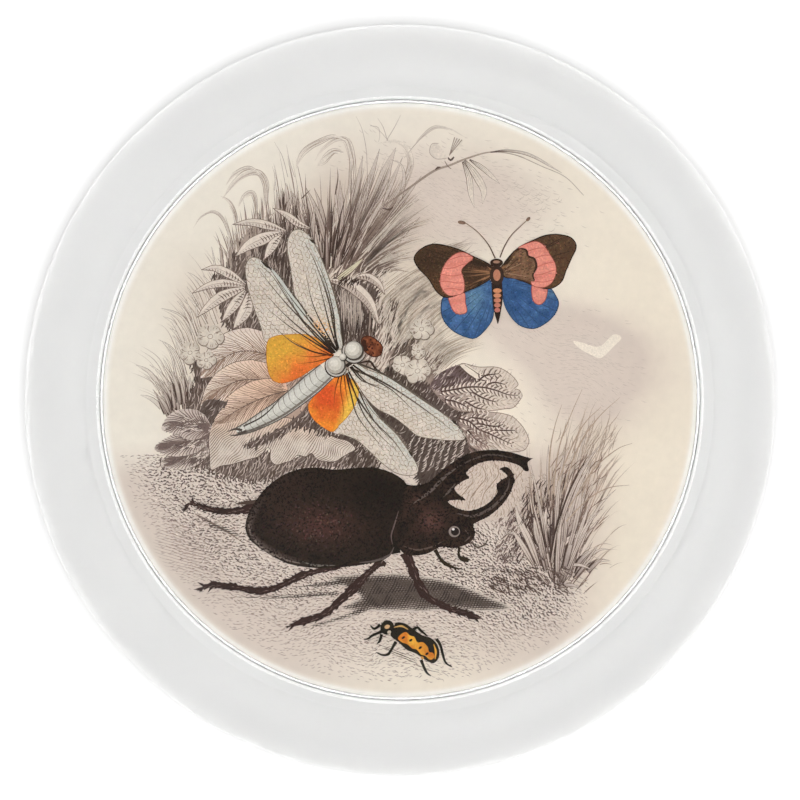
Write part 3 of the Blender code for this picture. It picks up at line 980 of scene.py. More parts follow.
def draw_left_leaves():
    fan(([(-34.2, -2.6), (-35.6, 0.6), (-38.4, 4.2)], [(-33.6, -2.2), (-34.4, 1.0), (-36.4, 4.4)],
         [(-32.2, -1.4), (-32.8, 2.0), (-33.8, 6.0)], [(-30.8, -1.0), (-31.0, 3.0), (-31.6, 7.0)]),
        30, 0.5, 33, ((220, 208, 196), (204, 190, 178)), (168, 152, 142), 0.09, 0, (0, 0.2), (0.5, 1.0),
        0.25, 0.6)
    dark_gap([(-30.6, 5.4), (-28.2, 6.6), (-26.4, 8.4), (-24.8, 9.2), (-22.0, 9.6), (-24.2, 6.0),
              (-28.0, 2.8), (-29.2, 0.8), (-30.4, 0.6), (-30.3, 3.2)], (112, 97, 89), 75, 4)
    dark_gap([(-30.0, -0.6), (-28.0, 0.4), (-25.4, 0.0), (-26.4, -2.2), (-27.8, -3.9), (-29.6, -3.4)],
             (104, 90, 84), 55, 5)
    dark_gap([(-35.2, -9.2), (-33, -8.6), (-30.8, -7.4), (-28.2, -7.6), (-26.6, -9.2), (-20.6, -7.6),
              (-18.4, -8.2), (-15.5, -8.6), (-12.8, -7.6), (-9.8, -8.4), (-7.4, -6.8), (-5.6, -5.6),
              (-3.2, -9.4), (-5.0, -9.9), (-9.5, -9.9), (-14.6, -10.0), (-20, -11.8), (-24.5, -11.4),
              (-30.0, -9.9)], (134, 118, 110), 66, 6, 0.7)
    leaf_darks.wash(smooth([(-24, -4.6), (-19, -0.5), (-19, 1.5), (-15, 3.6), (-12.6, 3.2), (-12.6, -0.4),
                            (-11, -4), (-7, -6), (-6.4, -7), (-12, -6), (-20, -5.4)], True), (178, 152, 137))
    lift()
    brush(75, 90, (-14.8, 0.6), (2.4, 2.4), (40, 76), (0.7, 1.6), 0.17, (124, 98, 86), 0.3, leaf_darks)
    brush(76, 60, (-14.8, 0.6), (2.4, 2.4), (40, 76), (0.7, 1.5), 0.15, (212, 186, 168), 0.3, leaf_darks)
    dark_gap([(-13.8, -1.8), (-12.2, -3.2), (-9.6, -4.6), (-7.4, -5.2), (-5.4, -7.2), (-3.6, -9.9),
              (-6.6, -9.8), (-7.8, -7.6), (-9.8, -5.8), (-12.8, -4.6), (-14.8, -3.2)], (98, 85, 78), 55,
             16, 0.4)
    dark_gap([(-31.4, -2.0), (-31.2, 0.0), (-30.4, 1.8), (-28.8, 2.6), (-27.6, 0.8), (-29.2, -1.6)],
             (128, 111, 103), 80, 17, 0.5)
    draw_left_ribs()
    for x, y, radius, petals, turn in ((-28.1, 9.4, 1.9, 5, 0.4), (-31.1, 7.0, 1.6, 5, 1.0),
                                       (-28.7, 5.9, 1.4, 5, 0.2)):
        blossom(x, y, radius, petals, turn)
    draw_low_leaf()


def draw_left_ribs():
    """The big three-lobed leaf behind the dragonfly and the dark feathery one below it."""
    plump = (0.5, 0.9, 1.05, 1.0, 0.85, 0.5, 0.0)
    for spine, breadth, colour, tip in (
        ([(-18.4, 6.2), (-21.6, 7.2), (-24.4, 7.0), (-27.0, 5.6), (-29.6, 3.2)], 6.6, (218, 199, 186),
         (228, 216, 204)),
        ([(-17.6, 2.6), (-21.0, 3.0), (-24.0, 2.8), (-27.0, 1.3), (-29.6, -0.9)], 5.6, (222, 186, 163),
         (230, 218, 205)),
        ([(-16.6, 1.4), (-20.0, 0.4), (-23.0, -0.9), (-25.8, -2.6), (-28.1, -4.5)], 5.6, (224, 184, 158),
         (226, 206, 190)),
    ):
        leaf(spine, breadth, 0.48, 0.3, 0.11, colour, 0.8, 0.08, 0.15, plump, (148, 120, 104), tip)
        veins = smooth(spine)
        for k in range(4, len(veins) - 6, 5):
            for sign in (-1, 1):
                ahead = (veins[k + 1] - veins[k - 1]) * 1.6
                out = np.array([-ahead[1], ahead[0]]) * sign * 1.5
                ray = veins[k] + (ahead * 1.6 + out) * np.linspace(0, 1.5, 8)[:, None]
                leaf_lines.stroke(ray, (0.12, 0.08, 0.0), (136, 108, 93))
    dark_gap([(-29.4, -0.9), (-28.6, 0.0), (-26.9, 0.0), (-25.6, -0.5), (-26.6, -1.6), (-27.6, -3.0),
              (-28.1, -4.2), (-29.6, -3.6)],
             (112, 98, 92), 60, 18, 0.15, 0.05)
    feather = (0.2, 0.8, 1.05, 1.0, 0.85, 0.6, 0.1)
    for spine, breadth, light in (
        ([(-28.2, -5.4), (-30.4, -7.6), (-32.6, -8.8), (-35.4, -9.5)], 3.6, 0.9),
        ([(-28.1, -4.9), (-31.0, -6.0), (-33.6, -6.8), (-36.4, -7.2)], 3.8, 0.5),
        ([(-28.0, -4.3), (-30.6, -3.7), (-32.8, -3.4), (-35.3, -4.3)], 4.4, 0.0),
    ):
        tone = mix((184, 166, 158), (204, 189, 179), light)
        leaf(spine, breadth, 0.52, 0.36, 0.15, tone, 1.1, 0.0, 0.2, feather, (118, 99, 93), (216, 202, 191))
        along = smooth(spine)
        flow = np.degrees(math.atan2(along[-1, 1] - along[0, 1], along[-1, 0] - along[0, 0]))
        for seed, colour, width in ((67, (98, 81, 76), 0.13), (68, (226, 212, 200), 0.17)):
            middle = along[len(along) // 2]
            brush(seed, 20, middle - (along[-1] - along[0]) * 0.2, (1.8, breadth * 0.3),
                  (flow - 24, flow + 24), (0.8, 1.6), width,
                  colour, 0.4, leaf_lines)
    brush(69, 44, (-31.0, -9.4), (2.8, 0.5), (28, 62), (0.6, 1.3), 0.15, (104, 88, 82), 0.3, leaf_lines)


def draw_low_leaf():
    """The long pale leaf along the ground, with its scalloped lower edge and fine slanting engraved hairs."""
    shadow = [(-22.6, -6.4), (-20.0, -5.5), (-17.4, -4.4), (-15.4, -3.0), (-13.2, -1.4), (-11.6, -2.8),
              (-10.4, -5.2), (-13.2, -4.2), (-14.8, -3.8), (-16.6, -4.6), (-19.4, -6.0), (-21.8, -7.0)]
    lobes = smooth([(-27.4, -3.8), (-28.3, -5.6), (-28.2, -8.0), (-28.0, -10.3), (-26.6, -9.8),
                    (-24.8, -9.5), (-22.8, -8.9), (-20.8, -8.3), (-19.7, -7.1), (-19.2, -7.4),
                    (-19.2, -8.8), (-18.4, -9.6), (-17.2, -9.3), (-16.1, -9.0), (-15.2, -8.2),
                    (-14.0, -8.4), (-13.1, -7.9), (-12.4, -8.7), (-11.3, -9.1), (-9.6, -9.1), (-8.6, -8.5),
                    (-7.6, -7.9), (-6.6, -7.2), (-7.7, -6.1), (-9.5, -5.6), (-11.4, -4.7), (-13.2, -4.0),
                    (-14.8, -3.4), (-16.8, -2.6), (-19.8, -3.0), (-23.5, -3.2)], True, 0.3)
    leaf_fills.wash(lobes, lambda x, y: mix((211, 197, 185), (216, 190, 170), (y + 6.4) / 3.0), 0.6)
    lift()

    def hairs(x, y):
        return within_softly(lobes, x, y, 0.15) * np.clip(0.5 * noise(x, y, 1.1), 0.12, 0.4)

    hatch(leaf_lines, rows(-28.6, -10.4, -22.4, -2.6, 0.34, 54, 1.5, 1.6), 0.34, hairs, (146, 127, 115), 0.04)
    hatch(leaf_lines, rows(-22.4, -10.0, -6.4, -2.6, 0.34, 63, 1.3, 1.6), 0.34, hairs, (138, 119, 108), 0.04)
    leaf_lines.stroke(lobes[4:-22], (0.1, 0.12, 0.1), INK_BROWN)
    dark_gap(shadow, (112, 97, 91), 62, 19, 0.5)
    leaf_lines.stroke(smooth([(-23.4, -6.8), (-20.6, -5.9), (-18.6, -4.8), (-16.4, -3.5), (-14.4, -1.9),
                              (-13.4, -0.8)]),
                      (0.06, 0.24, 0.3, 0.36, 0.3), (112, 95, 88))


def draw_centre_leaves():
    leaf_darks.wash(smooth([(-11, 19.0), (-6, 18.8), (-3.4, 16.0), (-2.6, 11), (-1.2, 8), (1.0, 7.4),
                            (3.8, 5.4), (5.6, 3.6), (8.8, -1.2), (9.6, -4), (8.4, -6), (4, -9), (0, -6),
                            (-4, -2), (-8, 4), (-9, 12)], True), (150, 132, 121))
    lift()
    for centre, reach, heading, count in (((-2.6, 4.6), (2.6, 3.0), (50, 74), 110),
                                          ((-2.4, 10.6), (1.8, 3.2), (60, 84), 90),
                                          ((-6.5, 17.4), (4.4, 1.4), (30, 70), 80)):
        brush(62, count, centre, reach, heading, (0.8, 2.4), 0.17, (96, 79, 71), 0.2, leaf_darks)
        lift()
        brush(65, count, centre, reach, heading, (0.8, 2.2), 0.19, (214, 199, 185), 0.2, leaf_darks)
        lift()
    dark_gap([(-9.6, 18.2), (-7.2, 17.2), (-5.6, 15.0), (-4.8, 12.6), (-5.2, 10.4), (-5.6, 9.0),
              (-8.2, 8.6), (-9.0, 12), (-9.6, 15)], (108, 94, 87), 86, 7, 0.5)
    dark_gap([(-6.6, 17.4), (-4.6, 17.0), (-3.2, 15.6), (-3.6, 14.8), (-4.6, 15.0), (-5.6, 16.2)],
             (110, 96, 89), 60, 8)
    brush(82, 60, (-6.2, 9.4), (2.6, 1.6), (74, 98), (2.0, 4.2), 0.17, (72, 58, 52), 0.15, leaf_darks)
    weave(leaf_lines, ([(-8.8, 16.4), (-8.6, 13.0), (-8.4, 9.4)], [(-7.2, 16.0), (-7.0, 12.6), (-7.0, 9.2)],
                       [(-5.8, 14.6), (-5.4, 12.0), (-5.8, 9.4)]), 24, 0.12, (186, 170, 158), 39)
    for path, breadth in (([(-6.6, 18.2), (-4.8, 18.2), (-3.2, 17.2), (-2.2, 15.6)], 1.2),
                          ([(-10.2, 17.7), (-8.0, 17.2), (-6.0, 16.0), (-4.4, 14.2), (-3.0, 11.0)], 1.8)):
        lance(path, breadth, (216, 202, 189), (190, 173, 161))
    blade([(-9.2, 17.9), (-7.2, 19.4), (-5.4, 21.0)], 0.9, 0.12, 2, (206, 196, 168), fills=leaf_fills,
          lines=leaf_lines)
    brush(40, 40, (-7.8, 17.2), (1.6, 0.5), (40, 70), (0.5, 1.1), 0.16, INK, 0.1, leaf_lines)
    leaf_lines.stroke(smooth([(-6.2, 5.4), (-5.0, 5.7), (-4.3, 5.6), (-3.6, 4.6), (-3.0, 4.2)]),
                      (0.2, 0.35, 0.3), INK)


def draw_small_flowers():
    dark_gap([(-0.8, 6.2), (0.6, 7.8), (2.0, 8.6), (2.2, 7.4), (1.4, 6.2), (0.4, 5.2)], (142, 126, 114),
             55, 9)
    dark_gap([(-2.2, 4.2), (-0.6, 4.2), (1.2, 3.2), (3.2, 2.2), (4.8, 0.9), (4.2, -0.1), (2.6, 0.8),
              (0.6, 2.2), (-1.2, 3.2)], (98, 86, 77), 70, 10)
    brush(77, 50, (4.4, 4.4), (1.4, 1.6), (36, 62), (0.8, 1.8), 0.14, (118, 99, 90), 0.3, leaf_darks)
    brush(78, 30, (4.4, 4.4), (1.4, 1.6), (36, 62), (0.8, 1.8), 0.14, (212, 198, 184), 0.3, leaf_darks)
    for x, y, radius, petals, turn in ((3.2, 10.5, 1.7, 6, 0.3), (2.7, 7.2, 1.1, 5, 0.8),
                                       (0.4, 5.2, 1.5, 5, 0.5),
                                       (2.6, 4.3, 1.9, 6, 0.1)):
        blossom(x, y, radius, petals, turn)


def draw_right_leaves():
    """The two broad veined leaves at the right, and the dark thicket below them."""
    thicket = [(-4.6, 0.2), (-2.0, -1.2), (0.6, -3.4), (2.6, -5.0), (5.0, -5.6), (8.6, -5.4), (10.6, -6.6),
               (11.6, -8.4), (8.6, -10.0), (6.4, -12.2), (3.2, -12.6), (2.0, -8.6), (0.2, -5.4), (-2.6, -2.8)]
    dark_gap(thicket, (98, 86, 80), 60, 12, 0.1)
    dark_gap([(2.6, 2.2), (4.4, 2.2), (6.4, 1.2), (8.8, -0.8), (10.8, -1.7), (9.8, -2.6), (9.2, -4.4),
              (10.4, -6.6), (9.4, -7.0), (8.8, -4.4), (7.4, -3.2), (5.6, -1.6), (3.6, 0.2)], (104, 90, 86),
             60, 15, 0.3)
    column, step = np.meshgrid(np.arange(1.2, 10.0, 1.02), np.arange(-11.0, -5.0, 0.4))
    rng = np.random.default_rng(41)
    x = (column + 0.3 * (step + 8)).ravel() + rng.normal(0, 0.08, column.size)
    y = (step + 0.13 * column).ravel() + rng.normal(0, 0.05, column.size)
    x, y = kept(inside(smooth(thicket, True), x, y), x, y)
    shades = mix((166, 150, 140), (216, 203, 190), rng.random(x.size))
    lift()
    lean, length = 46 + rng.normal(0, 6, x.size), rng.uniform(0.6, 1.0, x.size)
    dashes(leaf_darks, x, y, lean, length, 0.15, 0.12, shades)
    upper = smooth([(4.5, 2.1), (5.2, 3.3), (6.7, 4.4), (8.7, 5.2), (9.5, 5.4), (11.6, 4.9), (14.0, 4.9),
                    (15.3, 4.5), (16.7, 3.5), (17.5, 2.3), (16.9, 1.7), (17.6, 1.5), (18.1, 0.7),
                    (17.7, -0.1), (16.8, -1.1), (15.6, -1.3), (13.3, -1.6), (10.5, -1.7), (8.4, -1.5),
                    (6.0, 0.2)], True, 0.25)
    lower = smooth([(8.7, -3.2), (10.3, -1.9), (13.6, -1.8), (16.3, -2.3), (17.5, -3.2), (18.4, -4.3),
                    (19.1, -5.9), (18.7, -7.1), (17.7, -7.6), (14.0, -7.8), (12.1, -7.5), (10.5, -6.8),
                    (9.7, -5.1)], True, 0.25)
    for shape, root in ((lower, (9.0, -4.0)), (upper, (5.6, 0.2))):
        def shaded(x, y):
            far = np.hypot(x - root[0], y - root[1]) / 7.5
            return mix((150, 130, 123), (214, 198, 184), far + 0.5 * (noise(x, y, 1.0) - 0.5))

        leaf_fills.wash(shape, shaded, 0.5)
        lift()
        x, y, rng = scatter(*shape.min(0), *shape.max(0), 0.52, 60)
        x, y = kept(inside(shape, x, y), x, y)
        above_rib = y - 1.4 + 0.1 * x if shape is upper else y + 4.6 + 0.3 * (x - 13)
        slant = 10 + 44 * np.clip(above_rib * 2, -1, 1)
        far = np.hypot(x - root[0], y - root[1]) / 9
        shades = mix((104, 86, 80), (190, 172, 158), far + rng.uniform(-0.3, 0.3, x.size))
        lean, length = slant + rng.normal(0, 7, x.size), rng.uniform(0.5, 1.1, x.size)
        dashes(leaf_lines, x, y, lean, length, 0.12, 0.1, shades)
        lift()
        x, y, slant = kept(rng.random(x.size) < 0.6 - 0.5 * far, x, y, slant)
        dashes(leaf_lines, x + 0.16, y + 0.1, slant, rng.uniform(0.5, 1.0, x.size), 0.16, 0.1,
               (228, 214, 202))
        lift()
        leaf_lines.stroke(looped(shape), (0.12, 0.1, 0.14), INK_SOFT)
    dark_gap([(4.5, 2.1), (5.2, 3.3), (6.7, 4.4), (8.6, 5.1), (9.7, 4.1), (11.2, 3.1), (9.6, 2.4),
              (7.6, 2.0), (5.8, 1.4)],
             (126, 106, 106), 52, 11, 0.35, 0.05)
    leaf_fills.wash([(8.8, 5.2), (9.9, 5.3), (11.0, 4.5), (12.2, 3.7), (12.3, 3.2), (11.2, 3.2),
                     (9.9, 4.1)], (228, 214, 199))
    lift()
    leaf_lines.stroke(smooth([(8.7, 5.2), (9.9, 4.0), (11.2, 3.1), (12.4, 3.2)]), (0.1, 0.2, 0.14), INK_BROWN)
    leaf_lines.stroke(smooth([(9.6, 5.2), (10.8, 4.4), (12.1, 3.6), (13.2, 3.9)]), (0.08, 0.12, 0.2),
                      INK_BROWN)
    plume(([(9.5, -0.1), (11.2, -1.1), (12.6, -1.4)], [(6.6, 0.1), (8.4, -0.3), (10.0, -1.1)],
           [(10.5, 1.3), (11.9, 0.5), (13.1, 0.0), (14.3, -0.3)],
           [(11.4, 2.4), (12.1, 3.3), (13.1, 3.7), (14.7, 3.9)],
           [(12.6, 2.2), (14.0, 2.6), (15.6, 2.3)], [(6.0, 1.2), (8.3, 1.6), (10.0, 1.9), (12.0, 1.9),
                                                     (14.0, 1.5), (16.0, 0.8), (17.5, 0.7)]),
          1.3, 42)
    plume(([(12.9, -4.4), (15.1, -4.5), (17.1, -4.5)], [(11.4, -3.4), (14.0, -3.9), (15.3, -3.6)],
           [(10.0, -4.4), (11.2, -5.8), (12.6, -6.6)], [(10.6, -2.6), (12.2, -2.8), (13.4, -3.2)],
           [(8.7, -2.7), (10.3, -3.2), (11.6, -4.3), (13.5, -5.1), (14.7, -5.7), (16.5, -6.5)]), 1.1, 43)
    brush(61, 60, (11.2, -5.6), (1.4, 1.6), (-62, -40), (0.8, 1.6), 0.1, (140, 116, 108), 0.2, leaf_lines)


def plume(veins, reach, seed):
    """Feathery engraved leaf veins: a dark rib with crisp light and dark strokes on both sides."""
    rng = np.random.default_rng(seed)
    for path in veins:
        line = resample(smooth(path), max(4, int(np.linalg.norm(np.subtract(path[-1], path[0])) / 0.55)))
        side = normals(line)
        ahead = np.stack([side[:, 1], -side[:, 0]], 1)
        angle = np.degrees(np.arctan2(ahead[:, 1], ahead[:, 0]))
        share = np.linspace(0, 1, len(line))
        full = reach * (0.45 + 0.55 * np.sin(math.pi * np.clip(share * 0.9 + 0.15, 0, 1)))
        for shift, colour, weight, span in ((0.0, (92, 72, 66), 0.2, 1.0), (0.28, (232, 218, 205), 0.2, 0.8)):
            lift()
            for sign in (-1, 1):
                length = full * span * rng.uniform(0.7, 1.1, len(line))
                out = (sign * (length * 0.36 + 0.1))[:, None]
                middle = line + ahead * (shift + length * 0.32)[:, None] + side * out
                shades = mix(colour, (206, 189, 176), 0.55 * share * rng.uniform(0.4, 1.0, len(line)))
                lean = angle + sign * 48 + rng.normal(0, 4, len(line))
                dashes(leaf_lines, middle[:, 0], middle[:, 1], lean, length, weight, -0.12 * sign, shades)
        lift()
        leaf_lines.stroke(smooth(path), (0.24, 0.24, 0.2, 0.1), (84, 64, 58))


RIGHT_FAN = (
    [(20.6, -24.0), (19.0, -21.0), (17.0, -18.4), (16.2, -15.4)],
    [(21.8, -25.4), (20.0, -20.6), (18.8, -15.6), (18.0, -11.0)],
    [(22.4, -26.0), (21.4, -19.6), (20.6, -13.0), (20.2, -5.6)],
    [(23.0, -26.6), (23.0, -18.8), (23.4, -10.0), (24.6, -1.0)],
    [(23.6, -27.0), (24.8, -18.4), (27.0, -9.0), (31.0, 1.0)],
    [(24.0, -27.2), (26.4, -19.4), (29.6, -12.6), (34.0, -8.4)],
    [(24.4, -27.4), (27.4, -21.2), (30.6, -17.2), (34.2, -15.8)],
    [(24.8, -27.6), (28.0, -23.4), (30.6, -21.4), (33.6, -21.8)],
    [(25.0, -27.8), (27.6, -25.6), (29.8, -25.0), (31.8, -26.6)],
)


def draw_right_grass():
    soft, faint = (176, 152, 136), (206, 190, 175)
    brush(70, 190, (17.4, -20.8), (3.4, 3.6), (36, 76), (0.7, 1.8), 0.2, (124, 104, 98), 0.3, leaf_darks)
    lift()
    brush(71, 120, (17.2, -20.6), (3.2, 3.4), (36, 76), (0.6, 1.5), 0.15, (222, 207, 195), 0.3, leaf_darks)
    tendrils(RIGHT_FAN, 70, 0.14, 44, soft, faint, (0.2, 0.7), (0.6, 1.0), 1.1)
    tendrils(RIGHT_FAN[2:6], 36, 0.2, 43, (188, 164, 146), (216, 201, 186), (0.4, 0.8), (0.8, 1.0), 1.2)
    fan(RIGHT_FAN, 28, 0.55, 45, ((228, 215, 201), (214, 200, 187)), (196, 178, 167), 0.07, 0, (0.1, 0.5),
        (0.5, 0.95), 0.6, 0.3, droop=0.08)
    tendrils(RIGHT_FAN, 50, 0.2, 46, INK_BROWN, soft, (0.05, 0.5), (0.3, 0.8), 1.0)
    fan(RIGHT_FAN, 34, 0.55, 47, ((222, 208, 195), (206, 190, 178)), (160, 143, 136), 0.09, 0, (0.0, 0.3),
        (0.25, 0.6), 0.6, 0.6, droop=0.1)
    tendrils(RIGHT_FAN[:4], 26, 0.22, 49, (84, 66, 62), INK_BROWN, (0.0, 0.5), (0.2, 0.6), 0.9)
    brush(48, 120, (20.6, -20.2), (4.2, 4.4), (50, 120), (0.7, 2.0), 0.2, (84, 66, 62), 0.3)
    for path, breadth in (
        ([(20.6, -24.6), (19.2, -21.0), (17.6, -17.6), (17.2, -15.4)], 1.0),
        ([(19.8, -24.4), (18.2, -21.6), (16.6, -19.2)], 0.8),
        ([(22.6, -26.6), (21.6, -22.5), (21.4, -18.4), (21.9, -15.0)], 0.8),
        ([(22.6, -25.0), (23.4, -22.6), (25.0, -20.6), (28.0, -19.4)], 0.8),
        ([(23.8, -27.0), (24.6, -25.0), (26.4, -24.4), (28.6, -25.2)], 0.5),
        ([(22.0, -27.4), (20.8, -26.0), (19.4, -25.8)], 0.6),
        ([(23.4, -27.8), (25.2, -27.4), (26.6, -27.8)], 0.5),
    ):
        blade(path, breadth, 0.11, 1, (222, 208, 196), (194, 177, 166), shape=(0.5, 0.9, 1, 0.8, 0.0))
    brush(63, 80, (25.6, -15.0), (3.6, 5.0), (32, 78), (1.4, 3.6), 0.15, (140, 116, 104), 0.4)
    brush(64, 60, (27.2, -9.0), (4.2, 5.0), (50, 82), (1.8, 4.6), 0.12, (192, 172, 156), 0.4)
    brush(66, 46, (19.8, -16.4), (2.2, 3.6), (54, 84), (0.8, 2.4), 0.18, (92, 74, 68), 0.3)
    fan(RIGHT_FAN[1:7], 18, 0.6, 79, ((226, 212, 199), (214, 199, 187)), (188, 171, 161), 0.08, 1,
        (0.05, 0.35), (0.45, 0.9), 0.7, 0.4,
        droop=0.1)
    for path in ([(22.6, -14), (23.6, -7), (25.4, -2), (27.0, 1.6)],
                 [(24, -14), (26.4, -7), (29.4, -2.6), (32.6, 0.4)],
                 [(25, -16), (28.6, -10.4), (32, -7.4), (34.4, -6.4)],
                 [(22.0, -14), (22.2, -8), (22.9, -4), (24.0, -0.6)],
                 [(24.6, -18), (28, -14.6), (31.0, -13.0), (34.0, -12.6)],
                 [(23.4, -12), (25.6, -6.6), (27.4, -3.4), (29.8, -1.0)]):
        wisp(path, 0.2, (186, 164, 146))
    brush(50, 110, (18.6, -26.4), (5.8, 1.8), (-50, -15), (0.5, 1.5), 0.19, INK_BROWN, 0.3)


# ---------------------------------------------------------------- the picture: the insects

LEFT_FOREWING = [(2.1, 21.1), (3.3, 22.5), (5.3, 23.1), (8.4, 22.4), (10.8, 21.3), (13.7, 19.8),
                 (14.0, 18.6), (12.4, 17.3), (9.6, 16.0), (7.0, 15.2), (5.5, 16.0), (4.2, 18.0), (2.7, 19.6)]
LEFT_FORE_BAND = [(9.2, 21.9), (10.1, 21.6), (10.8, 21.0), (9.7, 20.0), (9.1, 19.1), (9.5, 17.6),
                  (9.4, 16.0), (8.2, 15.5), (7.0, 15.6), (6.0, 17.0), (6.1, 18.8), (6.9, 20.5), (8.1, 21.6)]
LEFT_HINDWING = [(13.4, 17.7), (13.7, 15.0), (13.8, 12.4), (12.8, 10.6), (11.2, 9.2), (9.6, 9.4),
                 (7.8, 10.3), (6.5, 11.8), (6.1, 13.4), (6.6, 15.4), (9.5, 16.0), (12.0, 17.2)]
LEFT_HIND_BLOCK = [(7.2, 15.4), (7.5, 14.0), (8.1, 13.0), (9.0, 12.7), (9.9, 13.1), (9.7, 14.4),
                   (9.5, 15.9), (8.3, 15.6)]
RIGHT_FOREWING = [(15.2, 19.8), (16.4, 21.5), (17.8, 22.7), (19.6, 23.6), (21.6, 24.4), (23.6, 24.5),
                  (25.4, 24.0), (26.1, 22.7), (25.4, 21.0), (24.6, 19.2), (23.9, 17.5), (22.2, 16.5),
                  (20.0, 16.9), (17.6, 17.9), (15.4, 18.3)]
RIGHT_FORE_BAND = [(17.6, 22.6), (18.8, 23.2), (20.2, 23.5), (21.3, 22.9), (22.2, 21.6), (23.0, 20.2),
                   (23.1, 18.8), (22.5, 17.4), (21.4, 16.7), (20.0, 16.8), (19.4, 17.4), (19.7, 18.6),
                   (19.6, 20.2), (18.8, 21.3), (17.9, 22.0)]
RIGHT_HINDWING = [(15.3, 18.3), (17.4, 18.0), (19.6, 17.0), (22.1, 16.6), (23.1, 15.4), (23.5, 14.2),
                  (22.9, 12.7), (21.6, 11.4), (19.9, 10.6), (18.1, 10.9), (16.8, 11.9), (15.7, 13.6),
                  (15.2, 15.6)]
RIGHT_HIND_BLOCK = [(19.6, 17.0), (20.8, 16.6), (21.8, 16.6), (21.6, 15.0), (20.9, 14.2), (20.1, 14.3),
                    (19.6, 15.2)]

UMBER = (84, 60, 41)
UMBER_DARK = (60, 44, 31)
UMBER_LIGHT = (122, 86, 60)
ROSE = (224, 143, 127)
ROSE_DEEP = (205, 118, 104)
ROSE_EDGE = (150, 70, 58)
AZURE = (72, 104, 148)
AZURE_DEEP = (42, 72, 116)
AZURE_PALE = (104, 138, 160)


def draw_butterfly():
    def brown(x, y):
        near_body = blob(x, y, 14.4, 18.8, 5.0, 3.2)
        tip = blob(x, y, 4.2, 20.6, 4.6, 3.4) * 0.9
        shade = mix(UMBER, UMBER_LIGHT, near_body * 0.5 + 0.25 * (noise(x, y, 0.7) - 0.4))
        return mix(shade, UMBER_DARK, tip)

    def rose(x, y):
        return mix(ROSE, ROSE_DEEP, 0.9 * (noise(x, y, 0.9) - 0.25) + 0.35 * np.sin(y * 3.4 - x * 0.5) - 0.1)

    def blue(x, y):
        shade = mix(AZURE, AZURE_DEEP, 0.9 * noise(x, y, 0.8) - 0.15 + 0.15 * (x > 14.4))
        sheen = 0.75 * blob(x, y, 10.8, 15.2, 2.0, 3.0) + 0.6 * blob(x, y, 22.4, 15.8, 0.9, 0.9)
        return mix(shade, AZURE_PALE, sheen)

    for wing, block, fore, band in (
        (LEFT_HINDWING, LEFT_HIND_BLOCK, LEFT_FOREWING, LEFT_FORE_BAND),
        (RIGHT_HINDWING, RIGHT_HIND_BLOCK, RIGHT_FOREWING, RIGHT_FORE_BAND),
    ):
        hind, spot = smooth(wing, True, 0.25), smooth(block, True, 0.2)
        fly_blue.wash(hind, blue, 0.25)
        stipple(fly_blue, hind, blue, 0.34, 0.2, 62)
        lift()
        fly_lines.stroke(looped(hind), 0.13, (44, 60, 84))
        root = np.array([14.4, 17.6])
        for k in range(6, len(hind) - 6, 7):
            ray = root + (hind[k] - root) * np.linspace(0.25, 0.97, 12)[:, None]
            fly_lines.stroke(ray, (0, 0.12, 0.14), (52, 78, 112))
        fly_rose.wash(spot, rose, 0.2)
        stipple(fly_rose, spot, rose, 0.34, 0.09, 63)
        lift()
        fly_lines.stroke(looped(spot), 0.1, ROSE_EDGE)
        wing_line, band_line = smooth(fore, True, 0.25), smooth(band, True, 0.2)
        fly_brown.wash(wing_line, brown, 0.25)
        stipple(fly_brown, wing_line, brown, 0.34, 0.34, 64)
        lift()
        fly_lines.stroke(looped(wing_line), 0.16, (40, 28, 20))
        draw_wing_streaks(wing_line, root + np.array([0.0, 1.3]))
        fly_rose.wash(band_line, rose, 0.2)
        stipple(fly_rose, band_line, rose, 0.34, 0.09, 65)
        lift()
        fly_lines.stroke(looped(band_line), 0.09, ROSE_EDGE)
        draw_band_folds(band_line)
    cell = smooth([(15.4, 19.2), (16.4, 20.8), (17.4, 22.0), (18.6, 22.3), (18.9, 21.4), (20.0, 20.8),
                   (20.1, 19.6), (19.6, 18.6), (19.9, 17.6), (17.6, 17.9), (15.6, 18.3)], True, 0.2)
    fly_brown.wash(cell, lambda x, y: mix((128, 96, 72), (92, 66, 50), 1.4 * noise(x, y, 0.8) - 0.3), 0.25)
    stipple(fly_brown, cell, (112, 82, 60), 0.34, 0.3, 66, 30)
    for k in range(9):
        tip = np.array([15.6 + 0.5 * k, 22.2 - 0.12 * k * k + 0.45 * k])
        ray = np.array([15.2, 18.9]) + (tip - (15.2, 18.9)) * np.linspace(0.1, 0.8, 7)[:, None]
        keep = inside(cell, ray[:, 0], ray[:, 1])
        fly_lines.stroke(ray, np.where(keep, 0.1, 0), (66, 46, 34) if k % 2 else (160, 126, 98))
    fly_lines.stroke(smooth([(16.8, 22.0), (17.8, 22.4), (18.7, 22.2), (19.0, 21.3), (19.9, 20.9),
                             (20.2, 19.7), (19.7, 18.6), (19.9, 17.7)], spacing=0.2),
                     (0.16, 0.3, 0.34, 0.2), (58, 38, 28))
    draw_butterfly_body()


def draw_wing_streaks(outline, root):
    """Fine veins and lighter streaks that fan out from the butterfly's body."""
    rng = np.random.default_rng(61)
    for k in range(2, len(outline), 2):
        reach = rng.uniform(0.45, 0.96)
        ray = root + (outline[k] - root) * np.linspace(0.1, reach, 14)[:, None]
        light = rng.random() < 0.4
        colour = (148, 106, 74) if light else (52, 38, 28)
        reach_width = (0.14, 0.12, 0) if light else (0, 0.12, 0.1)
        fly_lines.stroke(ray[: 7 if light else 14], reach_width, colour)


